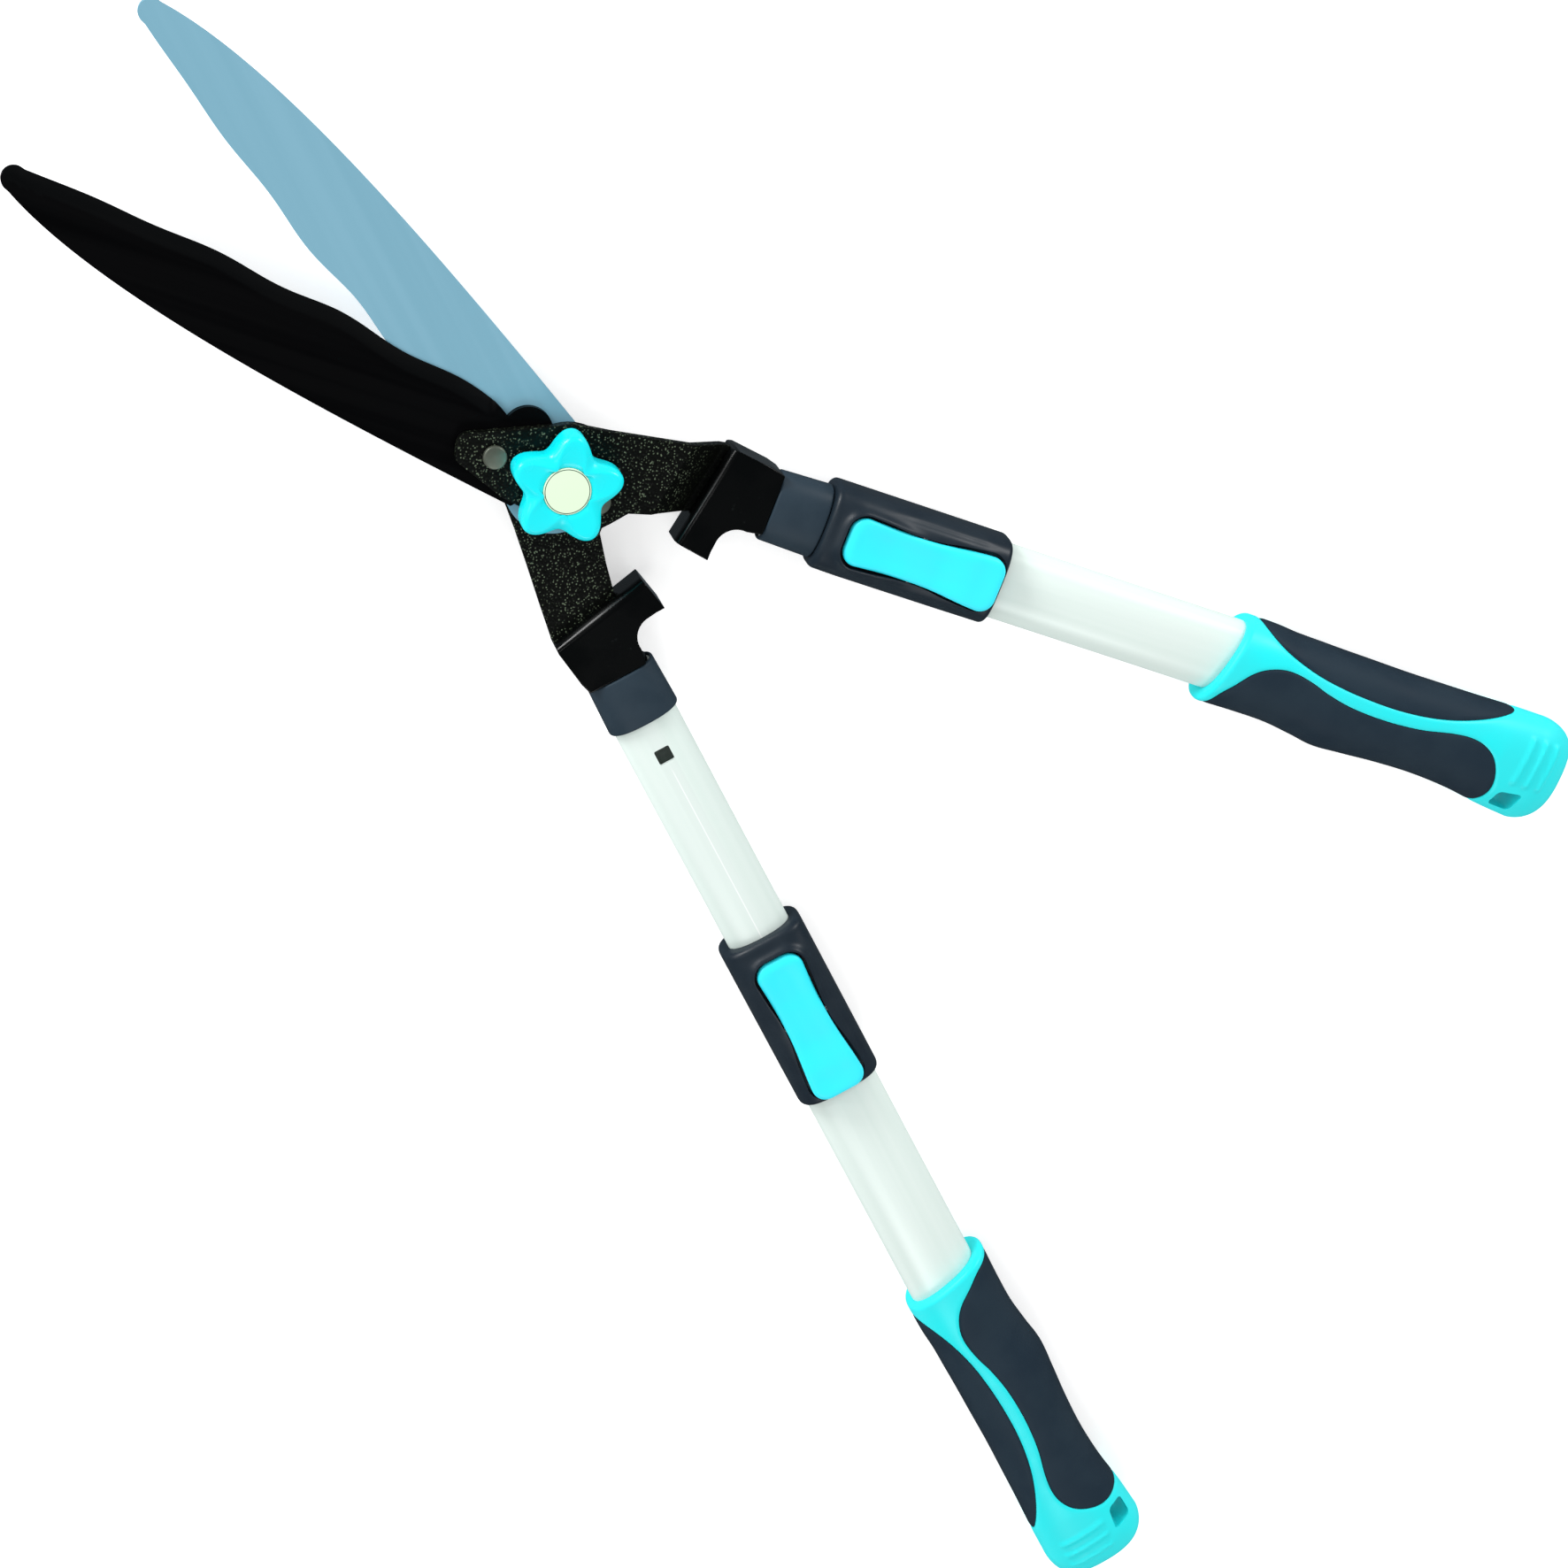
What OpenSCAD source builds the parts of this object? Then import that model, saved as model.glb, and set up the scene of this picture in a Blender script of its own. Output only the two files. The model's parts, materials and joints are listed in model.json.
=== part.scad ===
// Telescopic hedge shears with wavy blades, as an assembly of separate pieces.
//
// Frame: +Y runs forward to the blade tips, +X to the right, +Z up. The origin is on the
// pivot axis, at the centre of the bolt head's flat underside.
//
// Each half is drawn in its own half frame: the pivot is at x = y = 0, x runs outward to the
// half's own side, and the handle runs straight back along -y. The right half is turned by
// half_open about the pivot, and the left half is its mirror image.
// A handle piece is drawn in the handle frame: x = 0 and z = 0 lie on the tube's centre line,
// and a "station" is a distance behind the pivot, so a piece at station s has y = -s.

/* [Opening] */
// Angle between each handle and the centre line, as modelled, degrees
half_open = 21.2; // [16:0.2:24]
// Angle that each half turns from there until the stops meet, degrees
half_close = 10.4; // [9:0.1:11]
// How far the left handle is pulled out, as modelled
left_pull = 107; // [0:1:107]

/* [Blades and brackets] */
// Thickness of each blade
blade_t = 3; // [2.5:0.1:3.2]
// Height of the waves on the cutting edge
wave_h = 1.1; // [0.5:0.1:2]
// Distance between two waves
wave_pitch = 55; // [50:1:70]
// Angle that the upper blade is set outward and the lower one inward on its bracket, degrees
blade_set = 1.1; // [0:0.1:1.5]
// Thickness of each steel bracket
bracket_t = 4; // [3.5:0.1:4]
// Diameter of a rivet head
rivet_head_d = 9.6; // [8:0.1:11]
// Diameter of a rivet shank
rivet_d = 5; // [4:0.1:6]

/* [Pivot] */
// Diameter of the pivot bolt
bolt_d = 8; // [6:1:8]
// Width of the bolt head and of the nut, across the flats
hex_af = 13; // [12:0.5:14]
// Height of the bolt head
bolt_head_h = 5; // [4:0.1:5.5]
// Radius of the star knob halfway between lobe and hollow
knob_r = 19.5; // [18:0.1:21]
// How far a lobe stands out from that radius
knob_lobe = 3.4; // [2:0.1:4]
// Diameter of the round cap in the knob
cap_d = 19; // [16:0.5:20]

/* [Tubes] */
// Distance from the pivot to each tube's centre line
tube_offset = 15; // [14:0.5:16]
// Width of the outer tube
outer_w = 31.6; // [30:0.1:32]
// Height of the outer tube
outer_h = 21; // [20:0.1:22]
// Wall of the outer tube
outer_wall = 1.4; // [1.2:0.1:1.5]
// Width of the inner tube
inner_w = 27.6; // [26:0.1:27.6]
// Height of the inner tube
inner_h = 17; // [16:0.1:17]
// Wall of the inner tube
inner_wall = 1.3; // [1.2:0.1:1.5]
// Travel of each telescopic handle
travel = 107; // [100:1:107]
// Side of the square lock holes
lock_hole = 6; // [5.5:0.1:6.5]

/* [Lock] */
// Width of the lock sleeve
sleeve_w = 36.6; // [36:0.1:38]
// Length of the lock sleeve
sleeve_len = 77.5; // [75:0.5:78]
// Diameter of the lever's cross pin
lever_pin_d = 2.5; // [2:0.1:2.6]

/* [Grip] */
// Depth of the soft pads in the grip's core
pad_t = 1.6; // [1.2:0.1:1.8]

/* [Hidden] */
$fn = 64;

// Clearances: a turning fit, a sliding fit, and the gap between the two blades
turn_gap = 0.05;
slide_gap = 0.3;
blade_gap = 0.1;

// Heights of the stack on the pivot bolt, from the bolt head's underside
lower_bracket_z = bolt_head_h;
lower_blade_z = lower_bracket_z + bracket_t;
upper_blade_z = lower_blade_z + blade_t + blade_gap;
upper_bracket_z = upper_blade_z + blade_t;
stack_top = upper_bracket_z + bracket_t;
washer_t = 1.6;
knob_z = stack_top + washer_t;
handle_z = lower_bracket_z + bracket_t / 2;

// Colours
coated_black = [0.02, 0.02, 0.02];
hammered = [0.06, 0.07, 0.06];
blue_steel = [0.42, 0.62, 0.72];
steel = [0.62, 0.63, 0.62];
cyan = [0.08, 0.86, 0.93];
slate = [0.16, 0.22, 0.28];
cap_white = [0.90, 0.98, 0.86];
anodised = [0.90, 0.94, 0.93];

// ---------------------------------------------------------------- frames and shared shapes

module right_half() rotate([0, 0, half_open]) children();

module left_half() mirror([1, 0, 0]) rotate([0, 0, half_open]) children();

module on_handle() translate([tube_offset, 0, handle_z]) children();

// What slides with the left handle, moved back by how far it is pulled out
module left_pulled() left_half() translate([0, -left_pull, 0]) on_handle() children();

module right_pulled() right_half() on_handle() children();

// Outline of an oval whose corners are fuller than an ellipse's
function oval_points(w, h, fullness = 0.82, sides = 56) = [
    for (i = [0 : sides - 1])
        let (c = cos(360 * i / sides), s = sin(360 * i / sides))
        [w / 2 * sign(c) * pow(abs(c), fullness), h / 2 * sign(s) * pow(abs(s), fullness)]
];

// A bar of oval section along the handle, from one station to another
module oval_bar(w, h, front, back, fullness = 0.82)
    translate([0, -front, 0]) rotate([90, 0, 0]) linear_extrude(back - front)
        polygon(oval_points(w, h, fullness));

// A flat piece drawn in plan and given a height
module plate(z, thick) translate([0, 0, z]) linear_extrude(thick) children();

// Rounds the outside corners of a plan by r
module soften(r) offset(r = r) offset(delta = -r) children();

function bezier(p, u) =
    pow(1 - u, 3) * p[0] + 3 * u * pow(1 - u, 2) * p[1]
    + 3 * u * u * (1 - u) * p[2] + pow(u, 3) * p[3];

// ---------------------------------------------------------------- blades

// The cutting edge runs from the tip back to the notch in front of the heel
edge_tip = 236;
edge_heel = 34;
edge_tip_x = 53;
edge_slope = 0.157;
edge_bow = 4.3;
upper_crest = 103;
lower_crest = upper_crest - wave_pitch / 2;

// The waves fade out over this length towards the tip
wave_fade = 130;

function edge_x(s, crest) =
    let (mid = (edge_tip + edge_heel) / 2, half = (edge_tip - edge_heel) / 2)
    edge_tip_x - edge_slope * (edge_tip - s) + edge_bow * (1 - pow((s - mid) / half, 2))
    + wave_h * min(1, (edge_tip - s) / wave_fade) * cos(360 * (s - crest) / wave_pitch);

spine_curve = [[-16.3, 15], [1, 115], [18.5, 200], [44.6, 240]];
tip_at = [48.6, 237.6];
tip_r = 5;
tang_at = [3.2, -2];
tang_r = 20;
heel_at = [14.3, 18.5];
heel_r = 10;
edge_step = 4;
spine_steps = 20;

// Each part of the plan is extruded on its own, and together they are one solid
module blade_body(z, crest) {
    plate(z, blade_t) polygon(concat(
        [for (s = [edge_tip : -edge_step : edge_heel]) [edge_x(s, crest), s]],
        [[19.3, 30.5], [12, 20], [3.2, -2]],
        [for (i = [0 : spine_steps]) bezier(spine_curve, i / spine_steps)]
    ));
    for (end = [[tip_at, tip_r], [tang_at, tang_r], [heel_at, heel_r]])
        translate([end[0][0], end[0][1], z]) cylinder(h = blade_t, r = end[1]);
}

// Two rivets join each blade to its bracket, one on each side of the pivot
rivet_at = [[1, 28.6], [-3.3, -17]];
countersink = 2;

module rivet_holes(z, thick)
    for (p = rivet_at) translate([p[0], p[1], z - 0.5]) cylinder(h = thick + 1, d = rivet_d);

// A countersunk hole that opens at height z, downwards when flip is true
module countersinks(z, flip)
    for (p = rivet_at) translate([p[0], p[1], z]) rotate([flip ? 180 : 0, 0, 0])
        cylinder(h = countersink, d1 = rivet_d + 2 * countersink, d2 = rivet_d);

module blade(z, crest, set, hole_d, sunk_z, flip) difference() {
    rotate([0, 0, set]) blade_body(z, crest);
    translate([0, 0, z - 0.5]) cylinder(h = blade_t + 1, d = hole_d);
    rivet_holes(z, blade_t);
    countersinks(sunk_z, flip);
}

// Rivets with a flat head on the bracket and a flush head in the blade
module rivets(blade_face, bracket_face, up) {
    head_h = 2;
    low = min(blade_face, bracket_face);
    long = abs(bracket_face - blade_face);
    for (p = rivet_at) translate([p[0], p[1], 0]) {
        translate([0, 0, low]) cylinder(h = long, d = rivet_d);
        translate([0, 0, blade_face]) rotate([up ? 0 : 180, 0, 0])
            cylinder(h = countersink, d1 = rivet_d + 2 * countersink, d2 = rivet_d);
        translate([0, 0, up ? bracket_face : bracket_face - head_h])
            cylinder(h = head_h, d = rivet_head_d);
    }
}

// ---------------------------------------------------------------- brackets

// The nose lies on the blade, the wide part holds the pivot, and the arm enters the connector
arm_end = 72;
bracket_outline = [
    [-5, 43.5], [5.5, 45], [13, 27], [23, 4], [25, -12], [27.7, -29], [30.6, -46],
    [32.8, -60], [32.6, -64], [28, -arm_end], [9, -arm_end], [6, -60], [2, -54.5],
    [-0.7, -42], [-4, -30], [-9.8, -25], [-15, -20], [-16, 4], [-13.6, 20]
];
corner_r = 4.5;

module bracket_plan() soften(corner_r) polygon(bracket_outline);

// The connector's front face crosses the handle at this station, slanted by this angle
front_station = 57.4;
front_slant = -11.2;
step_run = 13;

// The upper arm steps down to the height of the lower one, just in front of its connector
module stepped_sheet() {
    drop = upper_bracket_z - lower_bracket_z;
    ramp = 15;
    lead = bracket_t * tan(atan2(drop, step_run) / 2);
    reach = 140;
    translate([tube_offset, -front_station, 0]) rotate([0, 0, front_slant])
        translate([-reach / 2, 0, 0]) rotate([90, 0, 90]) linear_extrude(reach) polygon([
            [reach, stack_top], [ramp, stack_top],
            [ramp - step_run, lower_bracket_z + bracket_t],
            [-reach / 3, lower_bracket_z + bracket_t], [-reach / 3, lower_bracket_z],
            [ramp - step_run + lead, lower_bracket_z],
            [ramp + lead, upper_bracket_z], [reach, upper_bracket_z]
        ]);
}

// ---------------------------------------------------------------- connector and collar

connector_back = 85.4;
connector_h = 18;
stop_line = half_open - half_close;
stop_front = 53;
stop_back = 68.2;
stop_gap = 0.2;
socket_fillet = 9;

// The stop's face lies on a line through the pivot, so the two faces meet flat when closed
function stop_x(s) = stop_gap - s * tan(stop_line);

module connector_plan() difference() {
    polygon([
        [32.9, -61.5], [33.1, -64.5], [30.8, -80.5], [29.4, -connector_back],
        [4.1, -connector_back], [3.4, -80], [-2, -75], [-7, -stop_back],
        [stop_x(stop_back), -stop_back], [stop_x(stop_front), -stop_front]
    ]);
    translate([-5.8, -stop_back - socket_fillet - 0.4]) circle(socket_fillet);
}

spigot_w = inner_w - 2 * inner_wall - 0.1;
spigot_h = inner_h - 2 * inner_wall - 0.1;
spigot_end = 114;
tube_front = connector_back + 1.4;
collar_front = connector_back + 0.4;
collar_back = 107.8;
pin_station = 97.5;
pin_d = 4;

// A moulded body in three layers, so its edges are eased, with a spigot into the inner tube
module connector() color(coated_black) difference() {
    union() {
        for (layer = [[0, 13], [0.9, 16], [2.2, connector_h]])
            plate(handle_z - layer[1] / 2, layer[1]) offset(delta = -layer[0]) connector_plan();
        on_handle() oval_bar(spigot_w, spigot_h, connector_back - 3, spigot_end);
    }
    plate(lower_bracket_z, bracket_t) bracket_plan();
    on_handle() translate([0, -pin_station, -inner_h]) cylinder(h = 2 * inner_h, d = pin_d);
}

module connector_pin() color(steel)
    on_handle() translate([0, -pin_station, -inner_h / 2 + 0.2])
        cylinder(h = inner_h - 0.4, d = pin_d);

collar_w = 29.6;
collar_h = 20.4;

module collar() color(slate) on_handle() difference() {
    union() {
        oval_bar(collar_w - 1.4, collar_h - 1.4, collar_front, collar_back);
        oval_bar(collar_w - 0.5, collar_h - 0.5, collar_front + 0.7, collar_back - 0.7);
        oval_bar(collar_w, collar_h, collar_front + 1.8, collar_back - 1.8);
    }
    oval_bar(inner_w, inner_h, tube_front, collar_back + 1);
    oval_bar(spigot_w, spigot_h, collar_front - 1, tube_front + 1);
}

// ---------------------------------------------------------------- tubes

lock_station = 124;
inner_end = 318;
outer_front = 130.5;
outer_end = 395;

module lock_slot(station)
    translate([-lock_hole / 2, -station - lock_hole / 2, 0]) cube([lock_hole, lock_hole, inner_h]);

module inner_tube() color(anodised) on_handle() difference() {
    oval_bar(inner_w, inner_h, tube_front, inner_end);
    oval_bar(inner_w - 2 * inner_wall, inner_h - 2 * inner_wall, tube_front - 1, inner_end + 1);
    lock_slot(lock_station);
    lock_slot(lock_station + travel);
    translate([0, -pin_station, -inner_h]) cylinder(h = 2 * inner_h, d = pin_d);
}

guide_plug = 20;
guide_rim = 4;

// Plastic plug in the inner tube's end, whose rim runs inside the outer tube
module tube_guide() color(slate) on_handle() {
    oval_bar(spigot_w, spigot_h, inner_end - guide_plug, inner_end);
    oval_bar(outer_w - 2 * outer_wall - 2 * slide_gap, outer_h - 2 * outer_wall - 2 * slide_gap,
        inner_end, inner_end + guide_rim);
}

screw_station = 327;
screw_d = 4;

module outer_tube() color(anodised) difference() {
    oval_bar(outer_w, outer_h, outer_front, outer_end);
    oval_bar(outer_w - 2 * outer_wall, outer_h - 2 * outer_wall, outer_front - 1, outer_end + 1);
    translate([0, -screw_station, -outer_h]) cylinder(h = outer_h, d = screw_d);
}

// ---------------------------------------------------------------- lock sleeve and lever

sleeve_front = collar_back + 0.5;
sleeve_back = sleeve_front + sleeve_len;
sleeve_top = 15.6;
sleeve_bottom = 13;
floor_z = outer_h / 2 + 0.8;
lever_axis = [148, 13.2];
lever_front = 117;
lever_back = 184.8;
lever_gap = 1.2;
lever_end_r = 4;

// Widths of the lever at its nose, its waist and its thumb end
lever_nose_w = 21.4;
lever_waist_w = 18.6;
lever_thumb_w = 23.4;

// Half the lever's width at a station, smooth from the nose through the waist to the thumb end
function lever_half(s) =
    s < lever_axis[0]
        ? lever_waist_w / 2 + (lever_nose_w - lever_waist_w) / 2
            * pow((lever_axis[0] - s) / (lever_axis[0] - lever_front), 2)
        : lever_waist_w / 2 + (lever_thumb_w - lever_waist_w) / 4
            * (1 - cos(180 * (s - lever_axis[0]) / (lever_back - lever_axis[0])));

module lever_plan() {
    steps = 24;
    stations = [for (i = [0 : steps]) lever_front + (lever_back - lever_front) * i / steps];
    soften(lever_end_r) polygon(concat(
        [for (s = stations) [lever_half(s), -s]],
        [for (i = [steps : -1 : 0]) [-lever_half(stations[i]), -stations[i]]]
    ));
}

// Side view of the lever: low at the nose, high at the thumb end
lever_side = [
    [lever_front - 1, 12.2], [lever_axis[0] - 8, 11.6], [lever_axis[0] + 2, 11.6],
    [lever_axis[0] + 6, 11.85], [lever_back + 1, 14.8], [lever_back + 1, 17.6], [lever_back - 3, 18.6],
    [lever_back - 12, 18.2], [lever_axis[0] + 8, 16.6], [lever_axis[0] - 12, 16],
    [lever_front + 4, 16.6], [lever_front - 1, 15.6]
];

spring_station = 172;
spring_d = 6.4;
spring_wire = 0.7;
spring_turns = 3;
spring_top = 16.4;
lock_pin_w = 5.2;
lock_pin_tip = inner_h / 2 + slide_gap;
lock_pin_root = 14;

module square_post(w, station, low, high)
    translate([-w / 2, -station - w / 2, low]) cube([w, w, high - low]);

module cross_bore(d, long)
    translate([0, -lever_axis[0], lever_axis[1]]) rotate([0, 90, 0])
        cylinder(h = long, d = d, center = true);

module lock_lever() color(cyan) difference() {
    intersection() {
        plate(0, 2 * sleeve_top) lever_plan();
        rotate([90, 0, 90]) translate([0, 0, -sleeve_w / 2]) linear_extrude(sleeve_w)
            polygon([for (p = lever_side) [-p[0], p[1]]]);
    }
    cross_bore(lever_pin_d + 2 * turn_gap, sleeve_w);
    translate([0, -spring_station, 0]) cylinder(h = spring_top, d = spring_d + 1.6);
    square_post(lock_pin_w, lock_station, 0, lock_pin_root);
}

module lock_pin() color(steel)
    square_post(lock_pin_w, lock_station, lock_pin_tip, lock_pin_root);

lever_pin_len = 22;

module lever_pin() color(steel) cross_bore(lever_pin_d, lever_pin_len);

// Upper half of the sleeve's section is a little taller than the lower half
function sleeve_points(w, top, bottom, fullness = 0.62, sides = 56) = [
    for (p = oval_points(w, 2, fullness, sides)) [p[0], p[1] * (p[1] > 0 ? top : bottom)]
];

module sleeve_bar(w, top, bottom, front, back)
    translate([0, -front, 0]) rotate([90, 0, 0]) linear_extrude(back - front)
        polygon(sleeve_points(w, top, bottom));

module lock_sleeve() color(slate) difference() {
    union() {
        sleeve_bar(sleeve_w - 1.6, sleeve_top - 0.8, sleeve_bottom - 0.8, sleeve_front, sleeve_back);
        sleeve_bar(sleeve_w, sleeve_top, sleeve_bottom, sleeve_front + 2.5, sleeve_back - 2);
    }
    oval_bar(inner_w + 2 * slide_gap, inner_h + 2 * slide_gap, sleeve_front - 1, outer_front);
    oval_bar(outer_w, outer_h, outer_front, sleeve_back + 1);
    plate(floor_z, sleeve_top) offset(delta = lever_gap) lever_plan();
    square_post(lock_pin_w + 1, lock_station, 0, sleeve_top);
    cross_bore(lever_pin_d, lever_pin_len);
}

// Coil spring, swept as a tube of eight sides along a helix
module lever_spring() color(steel) {
    ring = 14;
    sides = 8;
    low = floor_z + spring_wire / 2;
    rise = spring_top - floor_z - spring_wire;
    count = ring * spring_turns;
    coil_r = (spring_d - spring_wire) / 2;
    points = [
        for (i = [0 : count], k = [0 : sides - 1])
            let (a = 360 * i / ring, b = 360 * k / sides,
                r = coil_r + spring_wire / 2 * cos(b))
            [r * cos(a), r * sin(a) - spring_station,
                low + rise * i / count + spring_wire / 2 * sin(b)]
    ];
    sweep(points, count + 1, sides);
}

// Skins rings of points, each with the same number of sides, into one closed solid
module sweep(points, rings, sides) polyhedron(points, concat(
    [[for (k = [0 : sides - 1]) k]],
    [for (i = [0 : rings - 2], k = [0 : sides - 1])
        let (n = (k + 1) % sides)
        [i * sides + n, i * sides + k, (i + 1) * sides + k, (i + 1) * sides + n]],
    [[for (k = [sides - 1 : -1 : 0]) (rings - 1) * sides + k]]
));

// ---------------------------------------------------------------- grip

// Sections of the grip: station, slant, inner side, outer side, half height
grip_sections = [
    [289.0, 0.24, -19.4, 17.2, 14.6],
    [292.0, 0.24, -21.2, 19.0, 16.4],
    [307.0, 0.12, -20.9, 18.8, 16.4],
    [319.0, 0.04, -21.2, 18.0, 16.1],
    [331.0, 0.00, -22.8, 17.7, 16.4],
    [342.0, 0.00, -24.4, 17.4, 16.7],
    [355.0, 0.00, -23.8, 17.2, 16.4],
    [372.0, 0.00, -22.8, 16.9, 15.9],
    [389.0, 0.00, -22.6, 17.0, 15.5],
    [406.0, 0.00, -23.8, 17.2, 15.1],
    [422.0, 0.00, -26.2, 17.6, 14.7],
    [436.0, -0.04, -27.8, 17.6, 14.0],
    [444.5, -0.10, -25.2, 15.2, 12.6],
    [450.0, -0.12, -18.5, 9.6, 9.8],
    [453.0, -0.12, -9.0, 1.0, 4.5]
];
grip_fullness = 0.84;
grip_sides = 32;

// The grip's outer surface, made smaller all over by inset
module grip_body(inset) {
    points = [
        for (g = grip_sections)
            let (mid = (g[2] + g[3]) / 2, w = g[3] - g[2] - 2 * inset, h = 2 * (g[4] - inset))
            for (p = oval_points(w, h, grip_fullness, grip_sides))
                [mid + p[0], -(g[0] + g[1] * p[0]), p[1]]
    ];
    sweep(points, len(grip_sections), grip_sides);
}

// Plan of the palm pad, on the side that faces the other handle
module palm_plan() polygon([
    [-34, -285], [-21, -289], [-14, -291], [-8, -295], [-1.4, -300], [2.6, -305.5],
    [4.8, -312.5], [4.8, -319.5], [3.2, -327.5], [0.8, -335.5], [-1.4, -347.5],
    [-2.2, -363.5], [-1.2, -379.5], [1.4, -393.5], [2.2, -402.5], [1, -409.5],
    [-2.6, -415.5], [-8.4, -419.3], [-15, -421], [-21, -420], [-34, -411]
]);

// Plan of the slim pad along the back of the hand
module back_plan() polygon([
    [28, -297], [19.4, -300.5], [14.6, -307.5], [10.6, -316.5], [7, -329], [5, -342],
    [4, -355], [3.8, -368], [4.8, -381], [7, -393], [10.4, -404.5], [14.4, -415],
    [18.4, -423], [28, -430]
]);

hole_outline = [[-23, -423.5], [-16, -425], [-14.6, -436], [-23.6, -433.6]];
hole_corner = 1.6;

module hang_hole() plate(-40, 80) soften(hole_corner) polygon(hole_outline);

// Space that a pad fills, from its plan down to the core below it
module pad_space() difference() {
    plate(-30, 60) children();
    grip_body(pad_t);
}

// Width, length and top height of one rib
rib = [2, 19, 14.6];
rib_stations = [430, 436, 442];
rib_slant = 7;

// Three low bars across the flared end, for the heel of the hand
module ribs() for (s = rib_stations)
    translate([-4, -s, 0]) rotate([0, 0, -rib_slant])
        translate([-rib[1] / 2, 0, 0]) cube([rib[1], rib[0], rib[2]]);

module grip_core() color(cyan) difference() {
    union() {
        difference() {
            grip_body(0);
            pad_space() palm_plan();
            pad_space() back_plan();
        }
        ribs();
    }
    oval_bar(outer_w, outer_h, grip_sections[0][0] - 20, outer_end);
    hang_hole();
    grip_screw_space();
}

module pad() difference() {
    intersection() {
        grip_body(0);
        plate(-30, 60) children();
    }
    grip_body(pad_t);
    oval_bar(outer_w, outer_h, grip_sections[0][0], outer_end);
    grip_screw_space();
}

module palm_pad() color(slate) pad() palm_plan();

module back_pad() color(slate) pad() back_plan();

screw_head_d = 7;
screw_head_z = 14.4;
screw_head_h = 2.4;

// Screw from below, through the core and the tube's lower wall
module grip_screw_shape(extra) translate([0, -screw_station, 0]) {
    translate([0, 0, -screw_head_z - extra]) cylinder(h = screw_head_h + extra, d = screw_head_d);
    translate([0, 0, -screw_head_z]) cylinder(h = screw_head_z - 7, d = screw_d);
}

module grip_screw_space() grip_screw_shape(6);

module grip_screw() color(steel) grip_screw_shape(0);

// ---------------------------------------------------------------- lower half, fixed

module lower_blade() color(blue_steel) left_half()
    blade(lower_blade_z, lower_crest, -blade_set, bolt_d, lower_blade_z + blade_t, true);

module lower_bracket() color(hammered) left_half() difference() {
    plate(lower_bracket_z, bracket_t) bracket_plan();
    translate([0, 0, lower_bracket_z - 0.5]) cylinder(h = bracket_t + 1, d = bolt_d);
    rivet_holes(lower_bracket_z, bracket_t);
}

module lower_rivets() color(steel) left_half()
    rivets(lower_blade_z + blade_t, lower_bracket_z, false);

bolt_top = 31;

module pivot_bolt() color(steel) {
    cylinder(h = bolt_head_h, d = hex_af / cos(30), $fn = 6);
    translate([0, 0, bolt_head_h]) cylinder(h = bolt_top - bolt_head_h, d = bolt_d);
}

// ---------------------------------------------------------------- upper half, turns on the bolt

module upper_blade() color(coated_black) right_half()
    blade(upper_blade_z, upper_crest, blade_set, bolt_d + 2 * turn_gap, upper_blade_z, false);

module upper_bracket() color(hammered) right_half() difference() {
    intersection() {
        plate(0, 2 * stack_top) bracket_plan();
        stepped_sheet();
    }
    translate([0, 0, upper_bracket_z - 0.5]) cylinder(h = bracket_t + 1, d = bolt_d + 2 * turn_gap);
    rivet_holes(upper_bracket_z, bracket_t);
}

module upper_rivets() color(steel) right_half()
    rivets(upper_blade_z, stack_top, true);

// ---------------------------------------------------------------- knob

washer_d = 20;
nut_z = knob_z + 1.6;
nut_h = 6.5;
star_z = knob_z + 1.1;
star_h = 9;
crown_h = 3;
crown_scale = 0.86;
hub_d = 18;
cap_floor = star_z + star_h + crown_h - 2;
lobe_turn = 32.5;

module pivot_washer() color(steel) difference() {
    translate([0, 0, stack_top]) cylinder(h = washer_t, d = washer_d);
    translate([0, 0, stack_top - 1]) cylinder(h = washer_t + 2, d = bolt_d + 2 * turn_gap);
}

module nut_prism(h) cylinder(h = h, d = hex_af / cos(30), $fn = 6);

module knob_nut() color(steel) difference() {
    translate([0, 0, nut_z]) nut_prism(nut_h);
    translate([0, 0, nut_z - 1]) cylinder(h = nut_h + 2, d = bolt_d + 2 * turn_gap);
}

module star() polygon([
    for (a = [0 : 4 : 356])
        (knob_r + knob_lobe * cos(5 * (a - lobe_turn))) * [cos(a), sin(a)]
]);

module star_knob() color(cyan) difference() {
    union() {
        plate(star_z, star_h) star();
        translate([0, 0, star_z + star_h]) linear_extrude(crown_h, scale = crown_scale) star();
        translate([0, 0, knob_z]) cylinder(h = star_h, d = hub_d);
    }
    translate([0, 0, knob_z - 1]) cylinder(h = 20, d = bolt_d + 0.8);
    translate([0, 0, nut_z]) nut_prism(nut_h);
    translate([0, 0, cap_floor]) cylinder(h = 10, d = cap_d);
}

module knob_cap() color(cap_white) translate([0, 0, cap_floor]) {
    cylinder(h = 2.2, d = cap_d);
    translate([0, 0, 2.2]) cylinder(h = 0.5, d1 = cap_d - 1, d2 = cap_d - 2.4);
}

// ---------------------------------------------------------------- drawing

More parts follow.
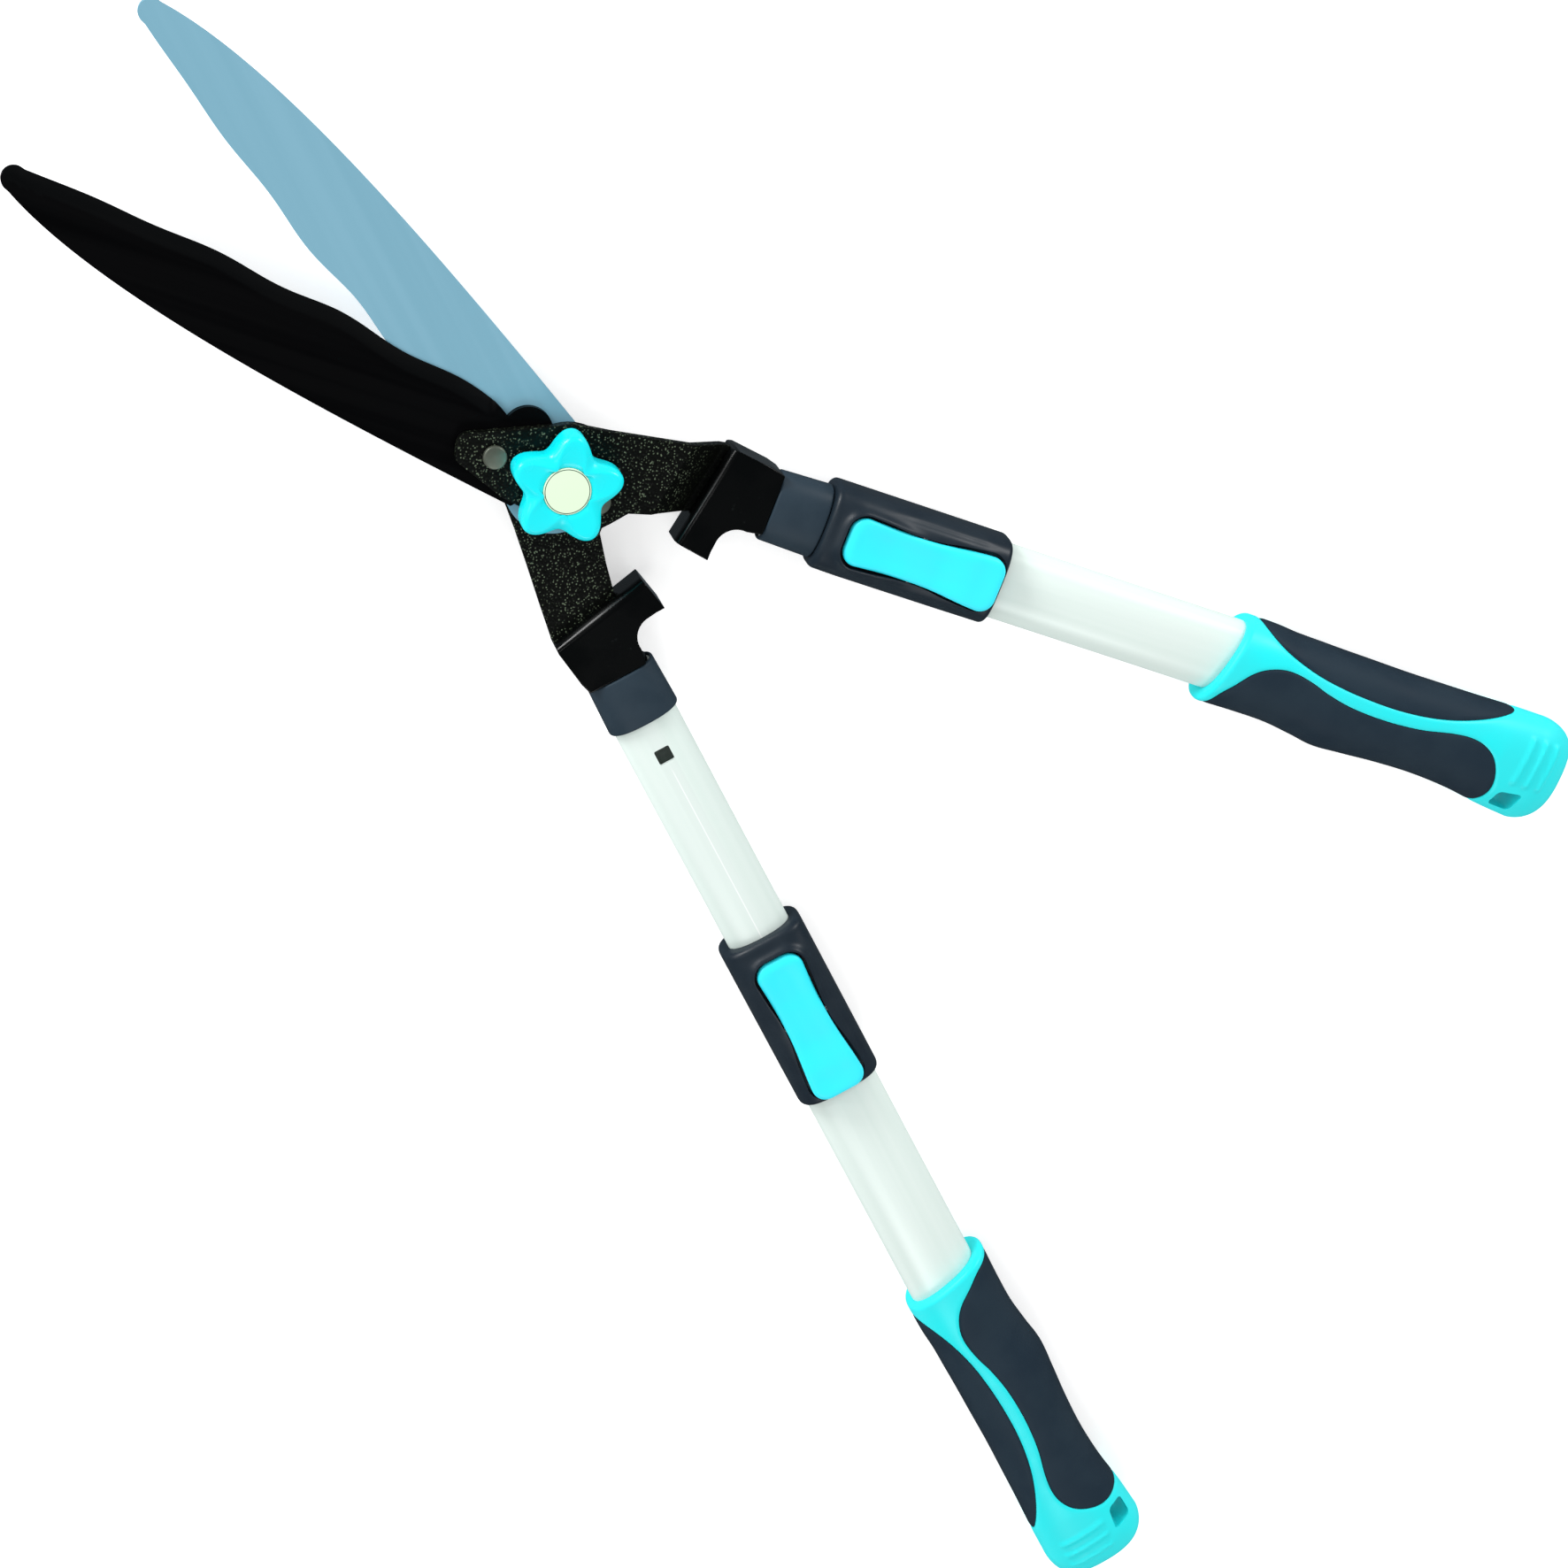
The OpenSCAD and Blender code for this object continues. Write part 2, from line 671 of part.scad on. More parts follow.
lower_blade();
lower_bracket();
lower_rivets();
pivot_bolt();
upper_blade();
upper_bracket();
upper_rivets();
pivot_washer();
knob_nut();
star_knob();
knob_cap();
left_half() connector();  // left_connector
left_half() collar();  // left_collar
left_half() inner_tube();  // left_inner_tube
left_half() connector_pin();  // left_connector_pins
left_half() tube_guide();  // left_tube_guide
left_pulled() outer_tube();  // left_outer_tube
left_pulled() lock_sleeve();  // left_lock_sleeve
left_pulled() lever_pin();  // left_lever_pin
left_pulled() lever_spring();  // left_lever_spring
left_pulled() lock_lever();  // left_lock_lever
left_pulled() lock_pin();  // left_lock_pin
left_pulled() grip_core();  // left_grip_core
left_pulled() palm_pad();  // left_palm_pad
left_pulled() back_pad();  // left_back_pad
left_pulled() grip_screw();  // left_grip_screw
right_half() connector();  // right_connector
right_half() collar();  // right_collar
right_half() inner_tube();  // right_inner_tube
right_half() connector_pin();  // right_connector_pins
right_half() tube_guide();  // right_tube_guide
right_pulled() outer_tube();  // right_outer_tube
right_pulled() lock_sleeve();  // right_lock_sleeve
right_pulled() lever_pin();  // right_lever_pin
right_pulled() lever_spring();  // right_lever_spring
right_pulled() lock_lever();  // right_lock_lever
right_pulled() lock_pin();  // right_lock_pin
right_pulled() grip_core();  // right_grip_core
right_pulled() palm_pad();  // right_palm_pad
right_pulled() back_pad();  // right_back_pad
right_pulled() grip_screw();  // right_grip_screw
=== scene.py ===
# %% [markdown]
# # Telescopic hedge shears
# Two blades turn on one bolt under a star knob. Each blade is riveted to a steel bracket, and
# each bracket ends in a cast connector that holds a telescopic handle with a lever lock and a
# two-part grip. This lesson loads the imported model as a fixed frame, then rebuilds what shows
# with finer meshes, and gives every piece its material.

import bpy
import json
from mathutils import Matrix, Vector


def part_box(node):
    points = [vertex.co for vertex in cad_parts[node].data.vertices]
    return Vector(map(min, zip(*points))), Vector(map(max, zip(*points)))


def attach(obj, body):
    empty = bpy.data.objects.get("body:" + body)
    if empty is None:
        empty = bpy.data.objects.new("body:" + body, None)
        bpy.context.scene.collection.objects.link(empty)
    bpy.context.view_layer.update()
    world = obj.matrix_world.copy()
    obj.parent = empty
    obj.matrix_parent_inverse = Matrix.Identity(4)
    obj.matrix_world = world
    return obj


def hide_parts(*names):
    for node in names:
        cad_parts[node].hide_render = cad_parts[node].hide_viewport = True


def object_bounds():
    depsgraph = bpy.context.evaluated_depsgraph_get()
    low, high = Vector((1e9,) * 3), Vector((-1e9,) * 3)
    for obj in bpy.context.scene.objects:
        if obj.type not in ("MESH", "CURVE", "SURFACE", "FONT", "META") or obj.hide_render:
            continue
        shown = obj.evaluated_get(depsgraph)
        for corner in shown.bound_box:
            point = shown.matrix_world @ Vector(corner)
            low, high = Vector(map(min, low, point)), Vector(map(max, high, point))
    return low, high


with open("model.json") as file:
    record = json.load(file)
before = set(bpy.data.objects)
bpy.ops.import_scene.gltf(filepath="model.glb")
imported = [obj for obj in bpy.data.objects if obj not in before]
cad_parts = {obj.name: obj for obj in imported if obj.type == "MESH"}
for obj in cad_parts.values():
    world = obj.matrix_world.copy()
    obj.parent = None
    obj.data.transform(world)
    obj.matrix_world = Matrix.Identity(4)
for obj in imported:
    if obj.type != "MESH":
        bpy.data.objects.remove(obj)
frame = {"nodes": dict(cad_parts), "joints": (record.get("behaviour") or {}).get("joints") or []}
cad_low, cad_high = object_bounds()

# %% [markdown]
# The rest of the script needs Blender's own modules. Lengths are written in millimetres, because
# that is how a drawing of the shears would give them, and they become metres at the very end.

# %% Modules and units
import json
import math

import bmesh
import bpy
from mathutils import Matrix, Vector

MM = 0.001
joints = {joint["name"]: joint for joint in frame["joints"]}
print("joints:", sorted(joints))

# %% [markdown]
# ## Where things are
# Both halves of the shears are the same shape, mirrored. So each piece is built once, in a simple
# local frame, and then placed on the left and on the right. In a half's frame the pivot is at zero,
# x points outward and the handle runs back along -y. A handle's frame is the same, moved on to the
# tube's centre line. A "station" is a distance behind the pivot. The angles and offsets are read
# from the record's joints, so they always agree with the frame.

# %% Angles and offsets from the record
slide_axis = Vector(joints["right_telescope"]["axis"])
half_open = math.atan2(slide_axis.x, -slide_axis.y)
lever_pivot = Matrix.Rotation(-half_open, 3, "Z") @ Vector(joints["right_lever_press"]["pos_m"])
tube_offset = lever_pivot.x / MM
left_pull = -joints["left_telescope"]["range_m"][0] / MM
tube_low, tube_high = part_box("right_outer_tube")
handle_z = (tube_low.z + tube_high.z) / 2 / MM
print(f"open {math.degrees(half_open):.1f} degrees a side, tube {tube_offset:.1f} mm from the pivot")


# %% Placing matrices
def half_place(side):
    """From a half's frame in millimetres to the model's frame in metres."""
    turned = Matrix.Rotation(half_open, 4, "Z") @ Matrix.Scale(MM, 4)
    if side == "left":
        return Matrix.Scale(-1, 4, (1, 0, 0)) @ turned
    return turned


def handle_place(side, slides=True):
    """From a handle's frame in millimetres to the model's frame in metres."""
    pull = left_pull if side == "left" and slides else 0
    return half_place(side) @ Matrix.Translation((tube_offset, -pull, handle_z))


SIDES = ("left", "right")
HALF_BODY = {"left": "lower_half", "right": "upper_half"}

# %% [markdown]
# ## Shared mesh tools
# Most pieces are lofts: a closed section is drawn once with create_circle, and then its edges are
# extruded from section to section. The other tools turn a profile about an axis, extrude a plan
# into a plate, and cut one solid with another.


# %% Curves and sections
def fade(low, high, value):
    """0 below low, 1 above high, and smooth between."""
    t = min(1, max(0, (value - low) / (high - low)))
    return t * t * (3 - 2 * t)


def oval(width, height, fullness=0.82, count=96):
    """Points (x, z) of an oval whose corners are fuller than an ellipse's."""
    points = []
    for i in range(count):
        c, s = math.cos(2 * math.pi * i / count), math.sin(2 * math.pi * i / count)
        points.append((
            width / 2 * math.copysign(abs(c) ** fullness, c),
            height / 2 * math.copysign(abs(s) ** fullness, s),
        ))
    return points


def across(points, station, slant=0):
    """A section (x, z) stood across the handle at a station."""
    return [(x, -(station + slant * x), z) for x, z in points]


def quarter_turn(steps):
    """Pairs that lead round a quarter circle, from (0, 1) to (1, 0)."""
    angles = [math.pi / 2 * k / steps for k in range(steps + 1)]
    return [(1 - math.cos(a), 1 - math.sin(a)) for a in angles]


def smooth_curve(points, parts):
    """A Catmull-Rom curve through points, with this many parts between two of them."""
    last = len(points) - 1
    curve = []
    for i in range(last):
        p0, p1, p2, p3 = (Vector(points[min(last, max(0, i + k))]) for k in (-1, 0, 1, 2))
        for step in range(parts):
            t = step / parts
            curve.append(0.5 * (
                2 * p1 + (p2 - p0) * t + (2 * p0 - 5 * p1 + 4 * p2 - p3) * t * t
                + (3 * p1 - p0 - 3 * p2 + p3) * t ** 3
            ))
    return curve + [Vector(points[-1])]


# %% Lofts, turned pieces and plates
def new_ones(result, kind):
    """The vertices or edges that an extrusion made."""
    return [item for item in result["geom"] if isinstance(item, kind)]


def loft(sections, ring=False):
    """Skins sections with the same number of points; ring joins the last to the first."""
    bm = bmesh.new()
    place = bm.verts.layers.int.new("place")
    first = bmesh.ops.create_circle(bm, segments=len(sections[0]), radius=1)["verts"]
    for i, vert in enumerate(first):
        vert[place] = i
        vert.co = sections[0][i]
    loop = list(bm.edges)
    start = list(loop)
    for section in sections[1:]:
        result = bmesh.ops.extrude_edge_only(bm, edges=loop)
        verts = set(new_ones(result, bmesh.types.BMVert))
        loop = [e for e in new_ones(result, bmesh.types.BMEdge) if verts.issuperset(e.verts)]
        for vert in verts:
            vert.co = section[vert[place]]
    if ring:
        bmesh.ops.bridge_loops(bm, edges=start + loop)
    else:
        bmesh.ops.contextual_create(bm, geom=start)
        bmesh.ops.contextual_create(bm, geom=loop)
    return tidy(bm)


def tidy(bm, distance=0.001):
    """Merges points that coincide and turns all faces outwards."""
    bmesh.ops.remove_doubles(bm, verts=bm.verts, dist=distance)
    bmesh.ops.dissolve_degenerate(bm, edges=bm.edges, dist=distance)
    bmesh.ops.recalc_face_normals(bm, faces=bm.faces)
    return bm


def lathe(profile, centre=(0, 0), steps=64):
    """Turns a profile of (radius, z) about an upright axis."""
    bm = bmesh.new()
    verts = [bm.verts.new((r, 0, z)) for r, z in profile]
    edges = [bm.edges.new(pair) for pair in zip(verts, verts[1:])]
    bmesh.ops.spin(
        bm, geom=verts + edges, axis=(0, 0, 1), cent=(0, 0, 0),
        angle=2 * math.pi, steps=steps, use_merge=True,
    )
    bmesh.ops.translate(bm, verts=bm.verts, vec=(centre[0], centre[1], 0))
    return tidy(bm)


def plate(outline, low, high):
    """A flat plan of (x, y), extruded from one height to another."""
    bm = bmesh.new()
    face = bm.faces.new([bm.verts.new((p[0], p[1], low)) for p in outline])
    result = bmesh.ops.extrude_face_region(bm, geom=[face], use_keep_orig=True)
    bmesh.ops.translate(
        bm, verts=new_ones(result, bmesh.types.BMVert), vec=(0, 0, high - low)
    )
    return tidy(bm)


def bevel(bm, edges, width, segments, clamp=False):
    bmesh.ops.bevel(
        bm, geom=edges, offset=width, offset_type="OFFSET", segments=segments,
        affect="EDGES", profile=0.5, material=-1, clamp_overlap=clamp,
    )


def round_edges(bm, width, segments, angle):
    """Bevels the edges where two faces meet at more than an angle in degrees."""
    sharp = [e for e in bm.edges if len(e.link_faces) == 2
             and e.calc_face_angle(0) > math.radians(angle)]
    bevel(bm, sharp, width, segments, clamp=True)
    return bm


def round_corners(bm, width, segments):
    """Bevels the upright edges of a plate."""
    upright_edges = [e for e in bm.edges if abs(e.verts[0].co.z - e.verts[1].co.z) > 1]
    bevel(bm, upright_edges, width, segments)
    return bm


def keep_flat(bm, area=60.0, width=0.35):
    """Insets large flat faces a little, so that rounded edges don't shade them."""
    flats = [face for face in bm.faces if face.calc_area() > area]
    bmesh.ops.inset_individual(bm, faces=flats, thickness=width, use_even_offset=True)
    return bm


# %% [markdown]
# A pocket or a hole is easiest to cut with the Boolean modifier. It works on objects, so this tool
# makes two scratch objects, reads the result back and removes them.


# %% Cutting tool
def combine(body, tool, operation="DIFFERENCE"):
    """One solid cut by another, or with INTERSECT only what both share."""
    scratch = []
    for bm in (body, tool):
        mesh = bpy.data.meshes.new("scratch")
        bm.to_mesh(mesh)
        bm.free()
        scratch.append(bpy.data.objects.new("scratch", mesh))
        bpy.context.scene.collection.objects.link(scratch[-1])
    step = scratch[0].modifiers.new("cut", "BOOLEAN")
    step.operation = operation
    step.solver = "EXACT"
    step.object = scratch[1]
    bpy.context.view_layer.update()
    result = bmesh.new()
    result.from_object(scratch[0], bpy.context.evaluated_depsgraph_get())
    for obj in scratch:
        mesh = obj.data
        bpy.data.objects.remove(obj)
        bpy.data.meshes.remove(mesh)
    return result


def joined(*meshes):
    """Several meshes as one, without merging them."""
    result = bmesh.new()
    for bm in meshes:
        mesh = bpy.data.meshes.new("scratch")
        bm.to_mesh(mesh)
        bm.free()
        result.from_mesh(mesh)
        bpy.data.meshes.remove(mesh)
    return result


# %% [markdown]
# ## Materials
# Every finish is made of a Principled shader and a few shared effects. Each effect is a node group
# that gives out heights or masks, so one effect serves many finishes at different scales. New
# pieces carry an attribute called "local", which is each point's place in the piece's own frame in
# metres. A pattern that reads it lies the same way on the left and the right handle.

# %% Colours as they are mixed
def paint(red, green, blue):
    """A colour given as 0 to 255 on a screen, as the linear value that a shader wants."""
    return tuple(
        c / 255 / 12.92 if c <= 10 else ((c / 255 + 0.055) / 1.055) ** 2.4
        for c in (red, green, blue)
    )


# %% Building blocks for node groups
def new_group(name, inputs, outputs):
    """An empty node group; returns it with its input node and its output node."""
    group = bpy.data.node_groups.new(name, "ShaderNodeTree")
    for label, kind, value in inputs:
        socket = group.interface.new_socket(name=label, in_out="INPUT", socket_type=kind)
        if value is not None:
            socket.default_value = value
    for label in outputs:
        group.interface.new_socket(name=label, in_out="OUTPUT", socket_type="NodeSocketFloat")
    return group, group.nodes.new("NodeGroupInput"), group.nodes.new("NodeGroupOutput")


def add(tree, kind, **settings):
    """A new node, with its properties set by name."""
    node = tree.nodes.new(kind)
    for key, value in settings.items():
        setattr(node, key, value)
    return node


def wire(tree, source, target):
    tree.links.new(source, target)


def feed(tree, value, socket):
    """Sets a socket to a number, or wires it to another node's output."""
    if isinstance(value, (int, float)):
        socket.default_value = value
    else:
        wire(tree, value, socket)


def calculate(tree, operation, *values):
    """A math node on numbers or other nodes' outputs."""
    node = add(tree, "ShaderNodeMath", operation=operation)
    for value, socket in zip(values, node.inputs):
        feed(tree, value, socket)
    return node.outputs["Value"]


def noise(tree, vector, scale, detail=2.0):
    """A noise pattern between 0 and 1."""
    node = add(tree, "ShaderNodeTexNoise")
    node.inputs["Detail"].default_value = detail
    feed(tree, scale, node.inputs["Scale"])
    wire(tree, vector, node.inputs["Vector"])
    return node.outputs["Fac"]


def stretched(tree, vector, amounts):
    """The pattern coordinates, scaled by a different amount each way."""
    node = add(tree, "ShaderNodeMapping")
    node.inputs["Scale"].default_value = amounts
    wire(tree, vector, node.inputs["Vector"])
    return node.outputs["Vector"]


def ramp(tree, value, low, high, to_low=0.0, to_high=1.0):
    """Maps a value from one range to another, and clamps it."""
    node = add(tree, "ShaderNodeMapRange", interpolation_type="SMOOTHSTEP")
    labels = ("From Min", "From Max", "To Min", "To Max")
    for label, number in zip(labels, (low, high, to_low, to_high)):
        node.inputs[label].default_value = number
    wire(tree, value, node.inputs["Value"])
    return node.outputs["Result"]


VECTOR_AND_SCALE = [("Vector", "NodeSocketVector", None), ("Scale", "NodeSocketFloat", 1000.0)]

# %% [markdown]
# Moulded plastic and rubber have a fine spark-eroded grain, and a cloudiness where they have been
# handled. The grain group gives both: a height for the bump, and a soft cloud mask.

# %% Effect: moulded grain
CLOUD_SCALE = 45
grain, start, end = new_group("moulded_grain", VECTOR_AND_SCALE, ["Height", "Cloud"])
fine = noise(grain, start.outputs["Vector"], start.outputs["Scale"], 3)
cloud = noise(grain, start.outputs["Vector"], CLOUD_SCALE, 4)
wire(grain, fine, end.inputs["Height"])
wire(grain, ramp(grain, cloud, 0.35, 0.7), end.inputs["Cloud"])

# %% [markdown]
# Hammered enamel dries into small rounded cells, with paler flecks in between. Smooth Voronoi
# cells make the relief, and a coarser noise picks out the patches that have flecks.

# %% Effect: hammered enamel
PATCH_SCALE = 420
hammer, start, end = new_group("hammered_enamel", VECTOR_AND_SCALE, ["Height", "Fleck"])
patches = noise(hammer, start.outputs["Vector"], PATCH_SCALE)
cells = add(hammer, "ShaderNodeTexVoronoi", feature="SMOOTH_F1")
cells.inputs["Smoothness"].default_value = 0.7
cells.inputs["Randomness"].default_value = 1.0
wire(hammer, start.outputs["Vector"], cells.inputs["Vector"])
wire(hammer, start.outputs["Scale"], cells.inputs["Scale"])
wire(hammer, cells.outputs["Distance"], end.inputs["Height"])
in_cell = ramp(hammer, cells.outputs["Distance"], 0.16, 0.36, 1.0, 0.0)
patchy = ramp(hammer, patches, 0.36, 0.56)
wire(hammer, calculate(hammer, "MULTIPLY", in_cell, patchy), end.inputs["Fleck"])

# %% [markdown]
# Drawn tubes and ground blades have faint straight lines along their length. Noise that is
# stretched fifty times along y gives them.

# %% Effect: drawn lines
STREAK_SCALE = 160
drawn, start, end = new_group("drawn_lines", VECTOR_AND_SCALE, ["Height", "Streak"])
along = stretched(drawn, start.outputs["Vector"], (1, 0.02, 1))
wire(drawn, noise(drawn, along, start.outputs["Scale"], 5), end.inputs["Height"])
wire(drawn, ramp(drawn, noise(drawn, along, STREAK_SCALE), 0.3, 0.7), end.inputs["Streak"])

# %% [markdown]
# Garden tools get small scuffs. The scuff mask is sparse: two noises at different stretches are
# multiplied, and only the highest values are kept.

# %% Effect: scuffs
scuffs, start, end = new_group("scuffs", VECTOR_AND_SCALE, ["Mask"])
parts = []
for amounts in ((1, 0.12, 1), (0.2, 1, 1)):
    scratches = noise(scuffs, stretched(scuffs, start.outputs["Vector"], amounts),
                      start.outputs["Scale"], 3)
    parts.append(ramp(scuffs, scratches, 0.6, 0.72))
wire(scuffs, calculate(scuffs, "MULTIPLY", *parts), end.inputs["Mask"])
print("effects:", sorted(group.name for group in bpy.data.node_groups))


# %% Building blocks for finishes
# The Mix node has sockets of one name for every kind of data, so its colour sockets go by number.
MIX_FACTOR, MIX_FIRST, MIX_SECOND, MIX_RESULT = 0, 6, 7, 2


def finish(name, colour, roughness, metallic=0.0, specular=0.5):
    """A material with a Principled shader; returns the material, its tree and the shader."""
    material = bpy.data.materials.new(name)
    material.use_nodes = True
    tree = material.node_tree
    shader = tree.nodes["Principled BSDF"]
    shader.inputs["Base Color"].default_value = (*colour, 1)
    shader.inputs["Roughness"].default_value = roughness
    shader.inputs["Metallic"].default_value = metallic
    shader.inputs["Specular IOR Level"].default_value = specular
    return material, tree, shader


def pattern_vector(tree, local=True):
    """The piece's own frame on new pieces, and Object coordinates on carried-over ones."""
    if local:
        return add(tree, "ShaderNodeAttribute", attribute_name="local").outputs["Vector"]
    return add(tree, "ShaderNodeTexCoord").outputs["Object"]


def effect(tree, group, vector, scale):
    """An effect's node group at a scale; returns its outputs."""
    node = add(tree, "ShaderNodeGroup", node_tree=group)
    node.inputs["Scale"].default_value = scale
    wire(tree, vector, node.inputs["Vector"])
    return node.outputs


def colour_by(tree, mask, colour, other):
    """Mixes a colour, or another node's colour, with a second colour by a mask."""
    node = add(tree, "ShaderNodeMix", data_type="RGBA")
    if isinstance(colour, tuple):
        node.inputs[MIX_FIRST].default_value = (*colour, 1)
    else:
        wire(tree, colour, node.inputs[MIX_FIRST])
    node.inputs[MIX_SECOND].default_value = (*other, 1)
    wire(tree, mask, node.inputs[MIX_FACTOR])
    return node.outputs[MIX_RESULT]


def relief(tree, shader, height, depth_mm, strength=1.0):
    """Bump on a shader, with its depth in millimetres."""
    node = add(tree, "ShaderNodeBump")
    node.inputs["Strength"].default_value = strength
    node.inputs["Distance"].default_value = depth_mm * MM
    wire(tree, height, node.inputs["Height"])
    wire(tree, node.outputs["Normal"], shader.inputs["Normal"])


# %% [markdown]
# ### Plastics and rubber
# The knob, levers and grip cores are bright cyan plastic with a satin skin. Sleeves and collars are
# slate-coloured, and the pads are a softer rubber with less shine. All are the same recipe, with
# other numbers: grain in the bump, clouds in the roughness and a very slight change of colour.


# %% Moulded finishes
def moulded(name, colour, worn, roughness, grain_scale, depth_mm, specular, local=True):
    """Moulded plastic or rubber, a little paler or darker and rougher where it is handled."""
    material, tree, shader = finish(name, colour, roughness, specular=specular)
    vector = pattern_vector(tree, local)
    skin = effect(tree, grain, vector, grain_scale)
    marks = effect(tree, scuffs, vector, 260)["Mask"]
    base = colour_by(tree, skin["Cloud"], colour, worn)
    wire(tree, base, shader.inputs["Base Color"])
    handled = ramp(tree, skin["Cloud"], 0, 1, roughness - 0.04, roughness + 0.05)
    wire(tree, calculate(tree, "MULTIPLY_ADD", marks, SCUFF_ROUGHNESS, handled),
         shader.inputs["Roughness"])
    relief(tree, shader, skin["Height"], depth_mm)
    return material


SCUFF_ROUGHNESS = 0.12
SLATE_PLASTIC = (paint(26, 37, 47), paint(31, 43, 53), 0.4, 2200, 0.015, 0.35)
MOULDED = {
    "cyan_knob": (paint(6, 232, 240), paint(10, 226, 236), 0.3, 1500, 0.012, 0.45),
    "cyan_lever": (paint(46, 234, 250), paint(52, 230, 247), 0.42, 1800, 0.012, 0.3),
    "cyan_grip": (paint(24, 230, 234), paint(34, 225, 230), 0.4, 1600, 0.015, 0.35),
    "slate_collar": (paint(36, 52, 64), paint(42, 58, 70), 0.5, 2600, 0.03, 0.25),
    "slate_plastic": SLATE_PLASTIC,
    "slate_rubber": (paint(29, 45, 58), paint(34, 50, 62), 0.55, 2400, 0.03, 0.15),
}
materials = {name: moulded(name, *recipe) for name, recipe in MOULDED.items()}
inner_plastic = moulded("slate_plastic_inner", *SLATE_PLASTIC, local=False)
print("moulded finishes:", sorted(materials))

# %% [markdown]
# ### The cap
# The cap is a smooth pale disc with one thin dark line just inside its edge. The line is a ring
# between two radii, found from the distance to the knob's axis.

# %% Cap finish
ring_radius = 8.85 * MM
ring_width = 0.16 * MM
cap_pale = paint(221, 243, 212)
cap_dark = paint(38, 62, 60)
material, tree, shader = finish("pale_cap", cap_pale, 0.35, specular=0.3)
spot = add(tree, "ShaderNodeTexCoord").outputs["Object"]
flat = stretched(tree, spot, (1, 1, 0))
radius = add(tree, "ShaderNodeVectorMath", operation="LENGTH")
wire(tree, flat, radius.inputs[0])
off_ring = calculate(tree, "SUBTRACT", radius.outputs["Value"], ring_radius)
distance = calculate(tree, "ABSOLUTE", off_ring)
on_ring = ramp(tree, distance, ring_width * 0.8, ring_width * 1.2, 1.0, 0.0)
wire(tree, colour_by(tree, on_ring, cap_pale, cap_dark), shader.inputs["Base Color"])
skin = effect(tree, grain, spot, 900)
wire(tree, ramp(tree, skin["Cloud"], 0, 1, 0.32, 0.4), shader.inputs["Roughness"])
relief(tree, shader, skin["Height"], 0.006)
materials["pale_cap"] = material

# %% [markdown]
# ### Painted steel
# The brackets have hammered enamel, the connectors smooth gloss enamel and the upper blade a thin
# low-friction coating. Black paint shows its quality only in its reflections, so these finishes
# work with bump and roughness, and hardly with colour.

# %% Hammered enamel
enamel_black = paint(7, 9, 6)
enamel_fleck = paint(98, 110, 90)
material, tree, shader = finish("hammered_black", enamel_black, 0.3, specular=0.16)
relief_cells = effect(tree, hammer, pattern_vector(tree), 950)
# On the upper bracket the ground attribute is 1 on its slope down to the connector, and the flecks fade
# out there: painted shade on that slope.
bend_shade = add(tree, "ShaderNodeAttribute", attribute_name="ground").outputs["Fac"]
flecks = calculate(tree, "MULTIPLY", relief_cells["Fleck"], ramp(tree, bend_shade, 0, 1, 1.0, 0.06))
wire(tree, colour_by(tree, flecks, enamel_black, enamel_fleck), shader.inputs["Base Color"])
wire(tree, ramp(tree, relief_cells["Height"], 0.1, 0.6, 0.26, 0.44), shader.inputs["Roughness"])
relief(tree, shader, relief_cells["Height"], 0.25, 0.7)
materials["hammered_black"] = material

# %% Gloss enamel on the connectors
gloss = paint(4, 5, 5)
material, tree, shader = finish("gloss_black", gloss, 0.2, specular=0.3)
vector = pattern_vector(tree)
skin = effect(tree, grain, vector, 520)
marks = effect(tree, scuffs, vector, 420)["Mask"]
wire(tree, colour_by(tree, marks, gloss, paint(26, 30, 30)), shader.inputs["Base Color"])
wire(tree, ramp(tree, skin["Cloud"], 0, 1, 0.17, 0.26), shader.inputs["Roughness"])
relief(tree, shader, skin["Height"], 0.03, 0.6)
materials["gloss_black"] = material


# %% Blade finishes
def blade_finish(name, colour, streak, ground, roughness, metallic, specular):
    """Coated steel with lines along the blade; the attribute "ground" is 1 on the ground edge."""
    material, tree, shader = finish(name, colour, roughness, metallic, specular)
    lines = effect(tree, drawn, pattern_vector(tree), 2600)
    edge = add(tree, "ShaderNodeAttribute", attribute_name="ground").outputs["Fac"]
    coated = colour_by(tree, lines["Streak"], colour, streak)
    wire(tree, colour_by(tree, edge, coated, ground), shader.inputs["Base Color"])
    wire(tree, ramp(tree, lines["Streak"], 0, 1, roughness - 0.05, roughness + 0.06),
         shader.inputs["Roughness"])
    relief(tree, shader, lines["Height"], 0.01, 0.6)
    return material


materials["black_blade_coating"] = blade_finish(
    "black_blade_coating", paint(3, 3, 4), paint(5, 5, 6), paint(7, 8, 9), 0.4, 0.0, 0.07
)
materials["blue_steel_blade"] = blade_finish(
    "blue_steel_blade", paint(121, 170, 190), paint(125, 173, 193), paint(142, 182, 200), 0.45, 0.1, 0.3
)

# %% [markdown]
# ### Bare and anodised metal
# The tubes are satin anodised aluminium, almost white, with drawn lines and one faint rub line
# where the lock pin runs when the handle slides. Rivets, washer and bolt are plain plated steel.

